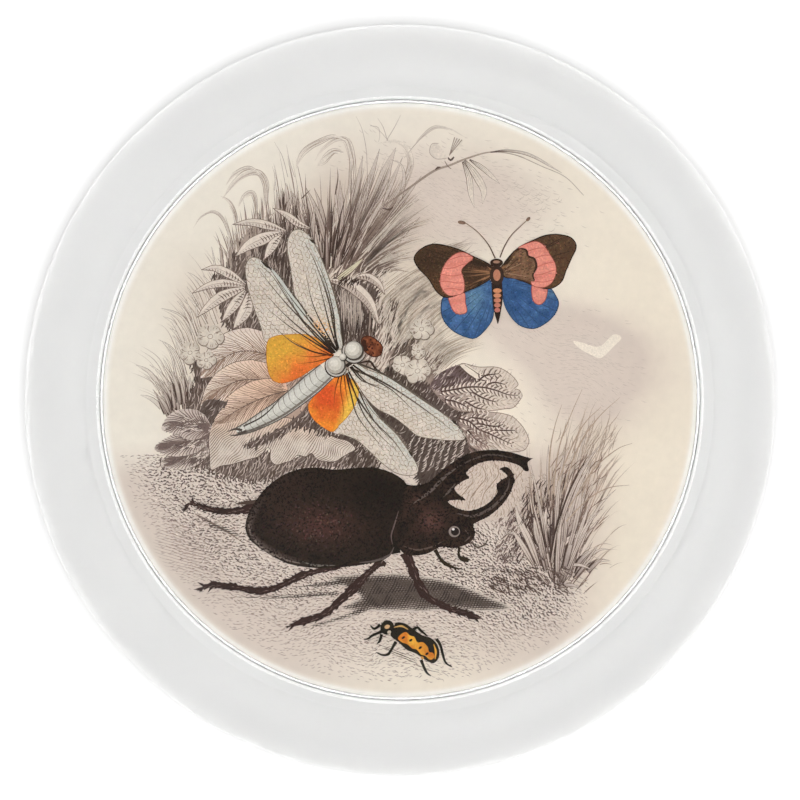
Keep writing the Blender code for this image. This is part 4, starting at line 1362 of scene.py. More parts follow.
def draw_band_folds(outline):
    """Deeper rose veins across a wing band."""
    low, high = outline.min(0), outline.max(0)
    for k, y in enumerate(np.arange(low[1] + 0.7, high[1] - 0.4, 1.15)):
        x = np.linspace(low[0], high[0], 24)
        line = np.stack([x, y + 0.25 * np.sin(x * 1.1 + k) + 0.1 * (x - low[0])], 1)
        keep = within_softly(outline, line[:, 0], line[:, 1], 0.3)
        fly_lines.stroke(line, np.where(keep > 0.2, 0.11, 0), (196, 104, 92))


def ellipse(x, y, reach_x, reach_y, tilt=0.0, count=24):
    """An oval outline, turned by tilt degrees."""
    turn = np.linspace(0, 2 * math.pi, count, endpoint=False)
    across, up = reach_x * np.cos(turn), reach_y * np.sin(turn)
    cos, sin = math.cos(math.radians(tilt)), math.sin(math.radians(tilt))
    return np.stack([x + across * cos - up * sin, y + across * sin + up * cos], 1)


def draw_butterfly_body():
    dark = (46, 32, 26)
    lift()
    fly_brown.stroke(smooth([(14.35, 17.4), (14.45, 15), (14.45, 13), (14.5, 11.3)]),
                     (1.5, 1.6, 1.4, 0.9, 0.1), dark)
    fly_brown.fill(ellipse(14.35, 18.5, 1.05, 1.5), (58, 41, 32))
    fly_brown.fill(ellipse(14.3, 20.35, 0.95, 0.6), (52, 36, 28))
    fly_rose.wash(ellipse(14.35, 18.5, 0.55, 0.85), (186, 126, 98))
    for k in range(5):
        y = 16.2 - k * 0.72
        fly_rose.fill(ellipse(14.42, y, 0.62 - 0.05 * k, 0.34), mix((206, 140, 100), (190, 118, 104), k / 4))
    fly_rose.fill(ellipse(14.3, 20.45, 0.5, 0.22), (160, 122, 100))
    lift()
    for path, knob in (
        ([(14.1, 21.0), (13.1, 23.0), (11.6, 24.8), (9.9, 26.1), (9.4, 26.3)], (9.15, 26.3, 0.6, 0.28, -10)),
        ([(14.8, 21.1), (15.5, 22.8), (16.4, 24.3), (17.7, 25.6), (18.9, 26.7)], (19.0, 26.8, 0.4, 0.24, 45)),
    ):
        fly_lines.stroke(smooth(path), (0.2, 0.13, 0.12), (96, 72, 58), (134, 112, 94))
        fly_lines.fill(ellipse(*knob), (126, 100, 84))


WING_UP = [(-9.0, 7.5), (-10.6, 8.6), (-12.6, 10.6), (-14.6, 12.4), (-15.5, 15.0), (-16.2, 19.4),
           (-16.7, 22.8), (-16.2, 24.7), (-15.0, 25.3), (-13.6, 24.5), (-12.2, 22.4), (-11.0, 19.4),
           (-9.8, 16.2), (-9.1, 13.4), (-8.8, 10.4), (-8.5, 7.9)]
WING_UP_LEFT = [(-10.0, 7.4), (-12.6, 10.0), (-15.1, 12.8), (-17.2, 16.2), (-19.2, 19.3), (-20.8, 20.9),
                (-22.2, 21.0), (-22.9, 19.6), (-22.6, 16.8), (-21.7, 13.8), (-20.6, 10.8), (-19.8, 8.6),
                (-16.5, 8.8), (-13.0, 8.6)]
WING_UP_LEFT_ORANGE = [(-19.7, 8.4), (-18.7, 9.4), (-16.8, 9.7), (-14.0, 9.7), (-12.0, 8.9), (-10.0, 6.8),
                       (-10.8, 5.9), (-12.8, 4.7), (-15.2, 3.2), (-17.4, 2.5), (-19.0, 3.1), (-19.7, 5.2)]
WING_RIGHT = [(-7.0, 5.6), (-4.8, 4.5), (-2.2, 3.6), (0.4, 2.0), (3.0, 0.2), (5.6, -1.5), (7.4, -2.7),
              (8.7, -4.1), (9.6, -5.7), (8.0, -6.0), (5.2, -5.8), (2.6, -5.3), (1.0, -4.0), (-1.0, -2.5),
              (-3.2, -1.4), (-4.9, 0.2), (-6.4, 2.4), (-7.6, 4.4)]
WING_DOWN = [(-8.1, 4.4), (-7.0, 2.9), (-5.6, 0.7), (-4.2, -1.5), (-2.4, -3.3), (-0.6, -5.0), (0.9, -7.0),
             (2.2, -9.0), (2.7, -10.5), (1.6, -11.2), (-0.6, -10.8), (-2.6, -9.4), (-4.4, -7.7),
             (-6.2, -6.1), (-8.2, -5.2), (-10.0, -4.6), (-9.6, -1.0)]
WING_DOWN_ORANGE = [(-10.0, -4.7), (-11.6, -3.9), (-13.0, -2.6), (-13.6, -0.8), (-12.6, 0.7), (-11.0, 2.3),
                    (-9.4, 3.5), (-8.2, 3.6), (-7.0, 2.9), (-6.1, 1.8), (-6.5, -0.4), (-7.7, -2.4),
                    (-8.9, -3.6)]

WING_CREAM = (205, 191, 177)
WING_PALE = (217, 206, 195)
WING_BLUE = (196, 196, 189)
SAFFRON = (222, 178, 74)
ORANGE = (222, 122, 54)
VERMILION = (208, 84, 40)


def draw_wing(outline, root, tip, lead, seed):
    """A clear dragonfly wing: cream wash, a net of cells, dark veins and a bluish leading edge."""
    shape, edge = smooth(outline, True, 0.3), smooth(lead, spacing=0.3)

    def cream(x, y):
        near = np.hypot(x[:, None] - edge[:, 0], y[:, None] - edge[:, 1]).min(1)
        tone = mix(WING_CREAM, WING_PALE, 0.2 + 0.8 * (noise(x, y, 1.6) - 0.2))
        return mix(tone, WING_BLUE, 0.55 * np.clip(1.1 - near / 2.2, 0, 1))

    wing_wash.wash(shape, cream, 0.6)
    lift()
    wing_wash.stroke(edge, (0.3, 0.7, 0.8, 0.5, 0.2), WING_BLUE)
    stipple(wing_wash, shape, cream, 0.5, 0.07, seed + 5)
    lift()
    draw_wing_cells(shape, root, tip, seed)
    wing_lines.stroke(looped(shape), 0.1, (118, 102, 88))
    wing_lines.stroke(edge + normals(edge) * 0.55, (0.3, 0.24, 0.14, 0.06), (70, 60, 52), (120, 108, 96))
    wing_lines.stroke(edge - normals(edge) * 0.55, (0.34, 0.26, 0.16, 0.06), (52, 42, 36), (120, 108, 96))


def draw_wing_cells(shape, root, tip, seed):
    """A net of small six-sided cells, long near the wing's root and rounder at its tip."""
    rng = np.random.default_rng(seed)
    axis = np.subtract(tip, root)
    length = np.linalg.norm(axis)
    along, across = axis / length, np.array([-axis[1], axis[0]]) / length
    pitch, tall = 0.84, 0.52
    nodes = {}
    for i in range(-2, int(length / (pitch * 0.5)) + 4):
        for j in range(-12, 13):
            shift = 0.18 if (i + j) % 2 else -0.18
            drift = rng.normal(0, 0.075, 2)
            u, v = i * pitch * 0.5 + drift[0], (j + shift) * tall + drift[1]
            nodes[i, j] = np.array(root) + along * u + across * v
    pairs = []
    for (i, j), start in nodes.items():
        joins = [(i + 1, j)] + ([(i, j + 1)] if (i + j) % 2 else [])
        pairs += [(start, nodes[key]) for key in joins if key in nodes]
    pairs = np.array(pairs)
    pairs = pairs[inside(shape, pairs[:, :, 0], pairs[:, :, 1]).all(1)]
    pairs = pairs[rng.random(len(pairs)) < 0.9]
    middle, reach = pairs.mean(1), pairs[:, 1] - pairs[:, 0]
    lean = np.degrees(np.arctan2(reach[:, 1], reach[:, 0]))
    length, width = np.hypot(*reach.T) * 1.1, rng.uniform(0.06, 0.12, len(pairs))
    shades = mix((184, 166, 148), (128, 110, 95), rng.random(len(pairs)))
    dashes(wing_lines, middle[:, 0], middle[:, 1], lean, length, width, rng.uniform(-0.2, 0.2, len(pairs)),
           shades)


def draw_veins(paths, width=0.26, colour=(44, 34, 28), second=(110, 96, 84)):
    """Dark wing veins that thin out towards their tips."""
    for path in paths:
        wing_lines.stroke(smooth(path), (width, width * 0.8, width * 0.5, width * 0.15), colour, second)


def draw_dragonfly():
    draw_wing(WING_UP, (-9.0, 7.5), (-15.2, 25), [(-8.9, 8.0), (-9.4, 12.0), (-10.4, 16.0), (-12.0, 20.4),
                                                  (-13.6, 23.6)], 71)
    draw_wing(WING_UP_LEFT, (-10, 7.4), (-22, 21), [(-10.4, 7.8), (-13.4, 11.4), (-16.0, 15.0),
                                                    (-18.4, 18.6), (-20.4, 20.4)], 72)
    draw_wing(WING_DOWN, (-8.6, 4.4), (1.8, -11), [(-7.6, 3.6), (-5.6, 0.2), (-3.4, -2.8), (-0.8, -5.4),
                                                   (1.6, -8.6)], 73)
    draw_wing(WING_RIGHT, (-7.2, 5.2), (9, -5.6), [(-6.6, 5.0), (-2.6, 3.3), (1.8, 0.6), (5.4, -2.0),
                                                   (8.2, -4.2)], 74)
    draw_orange_patches()
    draw_veins((
        [(-9.2, 7.6), (-9.6, 10.0), (-9.9, 13.0), (-11.0, 17.4), (-12.8, 21.6)],
        [(-9.5, 7.4), (-11.6, 9.6), (-13.4, 11.6), (-14.6, 14.4)],
        [(-9.3, 7.2), (-11.2, 10.5), (-13.0, 14.5), (-14.0, 19)],
        [(-9.2, 7.4), (-10.4, 11.0), (-11.4, 15.0), (-12.6, 19.5)],
        [(-9.1, 7.6), (-9.9, 11.0), (-10.6, 15.0), (-11.6, 18.5)],
        [(-9.8, 7.0), (-12.6, 9.6), (-15.0, 12.4), (-16.4, 15.6)],
        [(-9.6, 7.0), (-12.2, 10.2), (-15.6, 14.4), (-18.4, 18.2)],
        [(-9.7, 7.0), (-12.6, 10.0), (-16.4, 13.8), (-19.6, 17.6), (-21.2, 19.8)],
        [(-9.9, 6.9), (-13.0, 9.2), (-16.8, 12.4), (-20.4, 16.2)],
        [(-10.0, 6.9), (-13.0, 8.7), (-16.5, 11.0), (-19.6, 13.5)],
        [(-10.2, 6.6), (-13.0, 7.2), (-16.0, 8.6), (-18.6, 10.8)],
        [(-7.0, 5.2), (-4.4, 3.4), (-1.4, 1.6), (0.6, -0.2), (2.6, -2.2)],
        [(-7.2, 5.0), (-5.2, 2.8), (-3.4, 1.9), (-1.6, 1.2)],
        [(-7.4, 4.9), (-5.8, 3.0), (-4.4, 2.4), (-2.6, 2.0)],
        [(-7.6, 4.2), (-6.2, 1.6), (-4.8, -1.4), (-3.0, -4.2), (-0.6, -6.4)],
        [(-7.8, 4.0), (-6.6, 0.8), (-5.2, -2.4), (-3.0, -5.2), (-0.4, -7.6)],
        [(-8.0, 3.9), (-7.2, 0.6), (-6.4, -2.2), (-4.4, -5.0), (-2.4, -7.2)],
    ))
    for path in ([(-20.6, 20.6), (-19.9, 20.0), (-19.0, 19.3)], [(-13.4, 23.8), (-12.9, 23.5), (-12.5, 23.1)],
                 [(7.7, -3.0), (8.1, -3.3), (8.4, -3.7)], [(1.3, -7.6), (1.6, -7.9), (1.8, -8.4)]):
        wing_lines.stroke(smooth(path), (0.1, 0.46, 0.1), (62, 52, 44))
    draw_dragonfly_body()


def draw_orange_patches():
    blush = smooth([(-9.0, 7.6), (-11.6, 9.0), (-14.4, 11.0), (-14.0, 12.6), (-12.0, 13.4), (-10.0, 12.4),
                    (-9.2, 10.4)], True)

    def flush(x, y):
        return mix(WING_CREAM, (222, 158, 92), 0.95 * blob(x, y, -11.6, 10.6, 2.0, 1.6))

    def left(x, y):
        heat = 0.55 + (x + 13.6) * 0.11 - (y - 6.0) * 0.16 + 0.4 * (noise(x, y, 1.2) - 0.5)
        heat = heat * np.clip((x + 19.9) / 2.4, 0.1, 1)
        return mix(mix((212, 160, 62), ORANGE, heat * 1.6), VERMILION, heat - 0.5)

    def lower(x, y):
        heat = blob(x, y, -10.8, 0.2, 3.0, 3.4, 30)
        shade = mix((230, 138, 48), VERMILION, heat * 1.15 + 0.5 * (noise(x, y, 0.9) - 0.5))
        return mix(shade, SAFFRON, np.clip((x - y * 0.32 + 8.7) / 1.3, 0, 1))

    stipple(wing_orange, blush, flush, 0.34, 0.06, 78)
    for outline, colour in ((WING_UP_LEFT_ORANGE, left), (WING_DOWN_ORANGE, lower)):
        shape = smooth(outline, True, 0.25)
        wing_orange.wash(shape, colour, 0.3)
        stipple(wing_orange, shape, colour, 0.36, 0.13, 77)
        lift()
        wing_lines.stroke(looped(shape), 0.07, (168, 96, 44))
    lift()
    draw_veins((
        [(-9.8, 6.6), (-12.0, 6.9), (-14.2, 7.8), (-16.6, 9.2)],
        [(-9.9, 6.5), (-12.4, 7.8), (-14.8, 9.6)],
        [(-10.0, 6.8), (-13.0, 6.4), (-15.4, 6.6)],
        [(-10.2, 6.2), (-13.0, 5.6), (-15.2, 5.4)],
        [(-8.6, 3.8), (-8.8, 1.6), (-8.4, -1.2), (-8.6, -3.2)],
        [(-8.3, 3.8), (-8.0, 1.4), (-7.6, -0.8)],
        [(-9.0, 3.6), (-9.6, 1.4), (-9.8, -1.0)],
        [(-8.0, 4.0), (-7.2, 2.0), (-6.4, 0.2)],
    ), 0.2, (92, 46, 22), (150, 88, 44))


def draw_ball(x, y, radius, ring=0.0):
    """A shiny round joint of the dragonfly's body."""
    wing_body.wash(ellipse(x + 0.1, y - 0.12, radius * 1.12, radius * 1.12), (70, 62, 56))
    wing_body.wash(ellipse(x, y, radius, radius), (176, 168, 158))
    wing_body.wash(ellipse(x - radius * 0.08, y + radius * 0.12, radius * 0.78, radius * 0.76),
                   (206, 199, 188))
    wing_body.wash(ellipse(x - radius * 0.16, y + radius * 0.22, radius * 0.46, radius * 0.42),
                   (220, 214, 204))
    if ring:
        turn = ellipse(x + 0.1, y - 0.15, radius + ring, radius + ring)
        wing_lines.stroke(turn[10:], (0.08, 0.3, 0.3, 0.1), (190, 184, 176))
        outer = ellipse(x + 0.1, y - 0.15, radius + ring + 0.22, radius + ring + 0.22)
        wing_lines.stroke(outer[9:], (0.1, 0.2, 0.2, 0.1), (56, 46, 40))


def draw_dragonfly_body():
    spine = smooth([(-10.9, 4.2), (-13.0, 2.4), (-15.4, 0.4), (-17.8, -1.4), (-20.2, -2.8), (-22.4, -4.0),
                    (-24.2, -4.7)])
    widths = spread((2.6, 2.9, 2.7, 2.5, 2.2, 1.7, 0.9), len(spine))
    side = normals(spine) * widths[:, None] / 2
    lift()
    wing_body.stroke(spine, widths + 0.34, (92, 84, 78))
    lift()
    wing_body.stroke(spine, widths, (190, 186, 178))
    lift()
    wing_body.stroke(spine - side * 0.28, widths * 0.5, (208, 205, 197))
    lift()
    for k in range(3, len(spine) - 3, 3):
        share = np.linspace(-0.96, 0.96, 9)
        ring = spine[k] + side[k] * share[:, None] + (spine[k + 2] - spine[k]) * (1 - share**2)[:, None] * 0.9
        wing_lines.stroke(ring, (0.12, 0.06, 0.14), (122, 114, 106))
    shade = spine + side * 0.8
    wing_lines.stroke(shade, (0.3, 0.34, 0.3, 0.5), (132, 124, 116), (100, 90, 82))
    for path in ([(-23.4, -4.5), (-24.4, -4.3), (-25.6, -4.7)],
                 [(-22.8, -4.6), (-24.2, -5.2), (-25.4, -5.2)]):
        wing_lines.stroke(smooth(path), (0.4, 0.3, 0.05), (84, 72, 66))
    wing_lines.stroke(smooth([(-23.2, -3.9), (-20.8, -2.7), (-19.2, -1.4), (-17.6, 0.4)]),
                      (0.24, 0.2, 0.1), (70, 58, 52))
    head = smooth([(-5.7, 9.0), (-4.8, 9.5), (-3.6, 9.0), (-2.6, 7.9), (-2.9, 6.7), (-3.9, 6.4),
                   (-4.9, 6.9), (-5.6, 7.8)], True, 0.2)
    wing_body.wash(head, lambda x, y: mix((150, 84, 54), (82, 44, 30), 1.6 * noise(x, y, 0.55) - 0.3), 0.2)
    lift()
    wing_body.stroke(smooth([(-5.2, 8.9), (-5.4, 8.0), (-4.8, 7.3)]), (0.5, 0.9, 0.4), (58, 36, 26))
    wing_lines.stroke(looped(head), 0.14, (66, 38, 28))
    rng = np.random.default_rng(76)
    for _ in range(26):
        x, y = rng.uniform(-5.2, -2.9), rng.uniform(6.5, 9.0)
        if inside(head, x, y):
            wing_lines.dot(x, y, rng.uniform(0.07, 0.16), (62, 34, 24))
    for start, end in (((-9.6, 6.2), (-8.4, 6.2)), ((-8.8, 5.4), (-7.6, 6.6)), ((-8.2, 7.2), (-7.4, 5.8)),
                       ((-8.0, 5.0), (-6.8, 5.8))):
        wing_lines.stroke(np.array([start, end]), 0.5, (48, 38, 32))
    draw_ball(-9.55, 5.2, 1.3, 0.14)
    draw_ball(-6.9, 7.4, 1.3, 0.3)
    draw_ball(-8.5, 6.4, 0.5)


ELYTRA = [(-22.9, -18.8), (-22.3, -16.5), (-20.3, -13.5), (-17.8, -11.4), (-15.2, -10.3), (-12.6, -10.0),
          (-9.8, -10.3), (-7.0, -10.1), (-4.0, -10.0), (-1.4, -10.7), (0.4, -11.8), (0.9, -12.9),
          (0.0, -15.3), (-0.7, -17.8), (-1.4, -20.2), (-1.1, -22.0), (-2.2, -23.6), (-5.0, -24.3),
          (-8.8, -24.8), (-12.4, -24.9), (-16.4, -24.3), (-19.8, -22.6), (-22.2, -20.7)]
PRONOTUM = [(0.9, -13.0), (2.6, -12.6), (4.2, -12.2), (5.8, -10.8), (7.6, -9.4), (9.4, -8.3), (11.4, -7.6),
            (14.0, -7.4), (16.6, -7.8), (19.2, -8.6), (19.7, -8.6), (18.9, -9.3), (19.1, -10.4),
            (18.5, -10.5), (17.6, -9.7), (15.6, -9.1), (13.4, -9.0), (11.4, -9.5), (9.8, -10.7),
            (10.2, -11.5), (9.2, -12.1), (8.1, -13.0), (8.6, -13.9), (9.7, -14.8), (8.4, -14.8),
            (7.1, -15.0), (8.2, -15.9), (10.0, -16.4), (11.8, -16.0), (13.4, -15.0), (14.4, -13.7),
            (14.3, -12.6), (15.1, -11.8), (15.9, -11.3), (15.3, -10.6), (14.8, -10.2), (15.7, -9.9),
            (16.6, -10.6), (16.9, -12.0), (16.4, -13.6), (15.4, -15.2), (13.6, -16.9), (11.8, -17.9),
            (10.9, -18.5), (11.1, -20.0), (10.2, -21.2), (8.2, -21.9), (6.0, -21.8), (3.9, -22.8),
            (1.2, -23.0), (-0.2, -21.9), (-0.9, -20.0), (-0.6, -18.0), (0.1, -15.6)]
BEETLE_BLACK = (46, 36, 29)
BEETLE_DEEP = (34, 28, 22)
BEETLE_MAROON = (76, 50, 44)
BEETLE_RIM = (104, 90, 84)


def limb(plate, path, widths, colour, spurs=(), spur_length=0.9, rough=0.0):
    """An insect's leg: a line of changing width, with little spurs at shares of its length."""
    line = smooth(path, spacing=0.25)
    widths = spread(widths, len(line)) * (1 + rough * (noise(line[:, 0], line[:, 1], 0.4) - 0.5))
    plate.stroke(line, widths, colour)
    for share, turn in spurs:
        at = line[int(share * (len(line) - 1))]
        tip = at + spur_length * np.array([math.cos(math.radians(turn)), math.sin(math.radians(turn))])
        plate.stroke(np.array([at, (at + tip) / 2, tip]), (0.42, 0.3, 0.03), colour)
    if not rough:
        return
    rng = np.random.default_rng(len(line))
    side = normals(line)
    angle = np.degrees(np.arctan2(-side[:, 0], side[:, 1]))
    for sign in (-1, 1):
        some = np.flatnonzero(rng.random(len(line)) < 0.1 + 0.35 * np.linspace(0, 1, len(line)) ** 2)
        root = line[some] + side[some] * (sign * widths[some] * 0.5)[:, None]
        lean = angle[some] + sign * rng.uniform(18, 42, some.size)
        dashes(plate, root[:, 0], root[:, 1], lean, rng.uniform(0.4, 0.9, some.size), 0.2, 0.0, colour)
    lift()
    drift = rng.uniform(-0.1, 0.3, len(line)) * widths
    spot = line + side * drift[:, None]
    lean, length = angle + rng.normal(0, 8, len(line)), rng.uniform(0.4, 0.9, len(line))
    shades = mix((52, 37, 34), (140, 116, 108), rng.random(len(line)) ** 2.4)
    dashes(horn_lights, spot[:, 0], spot[:, 1], lean, length, 0.11, 0.05, shades)
    lift()


def draw_horn_backing():
    """The pinkish curled leaves that show between and beside the beetle's horns."""
    shape = smooth([(6.4, -13.4), (7.6, -11.2), (10.6, -9.6), (14.0, -8.8), (17.6, -8.8), (18.8, -11.0),
                    (17.6, -15.0), (14.0, -17.8), (8.0, -17.4)], True)
    leaf_darks.wash(shape, (209, 192, 179))
    lift()
    for k in range(5):
        root = np.array([8.2 + 1.9 * k, -16.6 + 0.5 * k])
        curl = root + np.array([[0, 0], [0.5, 1.8], [1.6, 3.2], [2.6, 4.6], [2.2, 6.0], [1.2, 6.6]])
        leaf_lines.stroke(smooth(curl), (0.08, 0.13, 0.1, 0.04), INK_LEAF)
    x, y, rng = scatter(4, -17, 18, -8, 0.55, 91)
    x, y = kept(inside(shape, x, y), x, y)
    heading = 40 + 90 * noise(x, y, 2.2)
    length, width = rng.uniform(0.5, 1.2, x.size), rng.uniform(0.07, 0.13, x.size)
    shades = mix(INK_LEAF, (186, 166, 152), rng.random(x.size))
    dashes(leaf_lines, x, y, heading, length, width, 0.25, shades)


def draw_cast_shadows():
    main = smooth([(-10, -26.2), (-5, -25.7), (0, -25.7), (4, -26.2), (8, -27), (12, -28.6), (16.4, -30.8),
                   (13, -31.3), (8, -31.2), (3, -31.4), (-2, -31.3), (-7.5, -31.2), (-9, -30.6),
                   (-6, -29.3), (-8, -28)], True)
    bands = (
        smooth([(-26, -29.2), (-20, -28.9), (-14, -28.6), (-9.4, -28.2), (-9.2, -29.0), (-14, -29.4),
                (-20, -29.6)], True),
        smooth([(-16, -27.7), (-12, -26.9), (-8, -26.4), (-7.6, -27.4), (-12, -27.8)], True),
        smooth([(-15.2, -33.9), (-11.5, -32.8), (-8, -31.6), (-5, -30.2), (-4, -31.1), (-8, -32.4),
                (-12, -33.6)], True),
        smooth([(-30.3, -16.7), (-27.5, -18.0), (-24.8, -19.2), (-22.4, -20.8), (-24.6, -20.2),
                (-28, -18.9)], True),
    )
    lift()

    def cover(x, y):
        dark = 0.88 * within_softly(main, x, y, 0.9) * (1 - 0.5 * blob(x, y, 1.5, -30.2, 3.0, 0.8))
        for band in bands:
            dark = np.maximum(dark, 0.72 * within_softly(band, x, y, 0.5))
        return dark * (0.76 + 0.5 * noise(x, y, 0.5))

    def pool(x, y):
        return mix(paper_colour(x, y), (104, 91, 84), 0.8 * within_softly(main, x, y, 1.3))

    cast_lines.fill(main, pool, 0.5)
    lift()

    hatch(cast_lines, rows(-31, -35, 18, -15, 0.3, 3, 0.3, 1.0, 0.2), 0.3, cover, (88, 76, 70), 0.05)
    hatch(cast_lines, rows(-16, -34, 18, -25, 0.4, 62, 0.3, 1.0, 0.2), 0.4, lambda x, y: cover(x, y) * 0.5,
          (62, 53, 48), 0.05)
    cast_lines.stroke(smooth([(-30.4, -16.8), (-27.6, -18.4), (-25.0, -19.9), (-23.2, -21.2)]),
                      (0.1, 0.3, 0.26, 0.05), INK_SOFT)


def draw_horned_beetle():
    leg = (58, 41, 37)
    lift()
    limb(horn_black, [(-20.9, -15.6), (-23.2, -16.3), (-26.2, -16.5), (-28.6, -16.1), (-30.0, -15.6),
                      (-31.0, -15.3), (-32.0, -16.2)],
         (1.0, 1.2, 1.0, 0.9, 0.8, 0.4, 0.1), leg, ((0.3, 195), (0.84, 100), (0.9, 200), (0.96, 240)), 1.0,
         0.5)
    limb(horn_black, [(-21.0, -15.0), (-22.6, -15.2), (-24.4, -15.4)], (0.5, 0.6, 0.1), (84, 68, 60))
    limb(horn_black, [(-8.9, -24.6), (-12.0, -25.3), (-14.6, -26.0), (-16.6, -27.0), (-18.9, -28.0),
                      (-20.6, -28.3), (-23.2, -28.0), (-25.4, -27.6), (-27.4, -27.4), (-28.6, -27.6),
                      (-29.8, -28.2)],
         (0.9, 0.8, 1.0, 1.0, 0.8, 1.0, 0.8, 0.9, 0.2), leg,
         ((0.5, 160), (0.66, 150), (0.76, 160), (0.86, 150), (0.9, 235), (0.97, 190), (0.95, 150)), 1.4, 0.6)
    limb(horn_black, [(-2.6, -23.6), (-3.6, -24.6), (-5.2, -26.1), (-7.2, -28.2), (-9.2, -30.0),
                      (-10.8, -31.4), (-12.6, -32.3), (-14.4, -32.8), (-16.6, -33.6)],
         (1.7, 0.9, 1.1, 1.3, 1.1, 0.9, 1.1, 0.9, 0.1), leg,
         ((0.62, 205), (0.72, 240), (0.8, 165), (0.86, 215), (0.92, 190), (0.95, 230)), 1.3, 0.6)
    limb(horn_black, [(0.8, -22.6), (1.5, -24.2), (2.4, -26.4), (3.4, -28.4), (4.6, -29.6), (6.2, -30.4),
                      (8.0, -31.2), (9.6, -31.5), (10.8, -32.1), (12.2, -32.4)],
         (1.7, 1.4, 1.2, 1.3, 1.2, 0.8, 0.9, 0.8, 0.9, 0.1), leg,
         ((0.42, 300), (0.58, 20), (0.7, 20), (0.75, 300), (0.94, 310)), 1.1, 0.6)
    horn_black.stroke(smooth([(0.6, -12.4), (0.0, -15.0), (-0.6, -18.0), (-1.2, -21.0), (-1.0, -22.8)]),
                      2.2, BEETLE_DEEP)
    shell, front = smooth(ELYTRA, True, 0.3), smooth(PRONOTUM, True, 0.2)

    def lustre(x, y):
        hollow = 0.9 * blob(x, y, -2.6, -13.5, 5, 4) + 0.5 * (noise(x, y, 1.3) - 0.3)
        glow = 0.95 * blob(x, y, -12.0, -18.6, 6.0, 3.0, -4) + 0.25 * blob(x, y, -17, -13, 5, 3, 40)
        shade = mix(mix(BEETLE_BLACK, BEETLE_DEEP, hollow), BEETLE_MAROON, glow)
        near_edge = np.clip(1 - np.abs(edge_distance(shell, x, y) - 0.65) / 0.65, 0, 1)
        rim = near_edge * np.clip((-12 - x) / 5, 0, 1)
        return mix(shade, BEETLE_RIM, rim * np.clip((-13.5 - y) / 5, 0.15, 0.75))

    def armour(x, y):
        shade = mix((54, 40, 33), BEETLE_DEEP, 1.2 * (noise(x, y, 1.1) - 0.3))
        glow = 0.85 * blob(x, y, 4.6, -18.0, 2.3, 2.0) + 0.3 * blob(x, y, 2.6, -14.8, 2, 1.4)
        return mix(shade, (98, 66, 58), glow)

    horn_black.wash(shell, lustre, 0.35)
    horn_black.wash(front, armour, 0.3)
    lift()
    for path, widths, colour in (
        ([(1.6, -15.6), (4.4, -13.6), (6.6, -11.4), (8.6, -9.9)], (0.05, 0.45, 0.5, 0.1), (96, 84, 78)),
        ([(8.8, -9.8), (11.0, -8.7), (13.6, -8.1), (16.8, -8.6)], (0.1, 0.3, 0.25, 0.05), (82, 70, 64)),
        ([(6.4, -14.4), (7.4, -13.4), (8.2, -12.4)], (0.05, 0.4, 0.1), (92, 80, 74)),
        ([(8.4, -16.8), (10.8, -17.2), (13.2, -16.2), (15.0, -14.6), (16.0, -13.0), (16.2, -11.6)],
         (0.1, 0.4, 0.4, 0.3, 0.05), (92, 78, 72)),
        ([(-0.2, -16.4), (-0.8, -18.4), (-1.3, -20.1), (-1.1, -21.4)], (0.05, 0.22, 0.2, 0.05),
         (104, 88, 84)),
        ([(-0.9, -21.8), (-1.6, -23.0), (-3.6, -23.8), (-6.0, -24.1)], (0.1, 0.4, 0.3, 0.1), (96, 84, 80)),
        ([(-14.6, -23.9), (-12.6, -24.5), (-9.6, -24.5)], (0.1, 0.35, 0.05), (112, 106, 98)),
        ([(-22.5, -18.2), (-21.9, -20.2), (-20.0, -22.2), (-17.2, -23.6), (-14.8, -24.2)],
         (0.1, 0.3, 0.35, 0.3, 0.1), (122, 108, 100)),
        ([(9.6, -19.2), (10.3, -20.2), (9.6, -21.0)], (0.05, 0.3, 0.05), (96, 80, 74)),
        ([(0.4, -21.6), (2.4, -22.2), (4.6, -21.8), (6.4, -20.9)], (0.05, 0.25, 0.25, 0.05), (92, 76, 68)),
    ):
        horn_lights.stroke(smooth(path), widths, colour)
    draw_beetle_grain(shell, front)
    draw_beetle_face()


def draw_beetle_grain(shell, front):
    """Fine pale and dark stipple over the beetle's back."""
    rng = np.random.default_rng(81)
    x, y = rng.uniform((-23, -25), (19, -7), (7000, 2)).T
    x, y = kept(inside(shell, x, y) | inside(front, x, y), x, y)
    bright = 0.3 + 0.7 * (blob(x, y, -12, -18.5, 8, 5) + 0.7 * blob(x, y, 4.6, -18, 3, 3))
    shades = mix((26, 19, 16), (106, 80, 73), (bright * rng.random(x.size)) ** 1.4)
    shades = np.clip(shades * (1 + rng.normal(0, 0.07, (x.size, 3))), 8, 250)
    lean, length = rng.uniform(0, 180, x.size), rng.uniform(0.2, 0.5, x.size)
    dashes(horn_lights, x, y, lean, length, 0.2, 0.2, shades)


def draw_beetle_face():
    horn_lights.wash(ellipse(8.05, -19.5, 0.84, 0.82), (138, 125, 117))
    horn_lights.wash(ellipse(8.15, -19.5, 0.6, 0.58), (38, 30, 28))
    horn_lights.wash(ellipse(7.9, -19.15, 0.2, 0.18, 0, 10), (232, 228, 222))
    leg = (50, 40, 30)
    limb(horn_black, [(8.8, -21.8), (8.7, -22.8), (9.0, -23.4), (10.2, -23.8)], (0.5, 0.3, 0.45, 0.8, 0.5),
         leg)
    limb(horn_black, [(5.2, -22.2), (6.2, -23.8), (7.6, -24.7), (9.3, -25.1)], (0.6, 0.4, 0.6, 0.3, 0.1),
         leg, ((0.55, 20), (0.8, -60)), 0.6)
    limb(horn_black, [(10.4, -20.9), (11.4, -21.8), (12.6, -21.4), (13.0, -20.6)], (0.2, 0.25, 0.25, 0.1),
         (96, 82, 74))


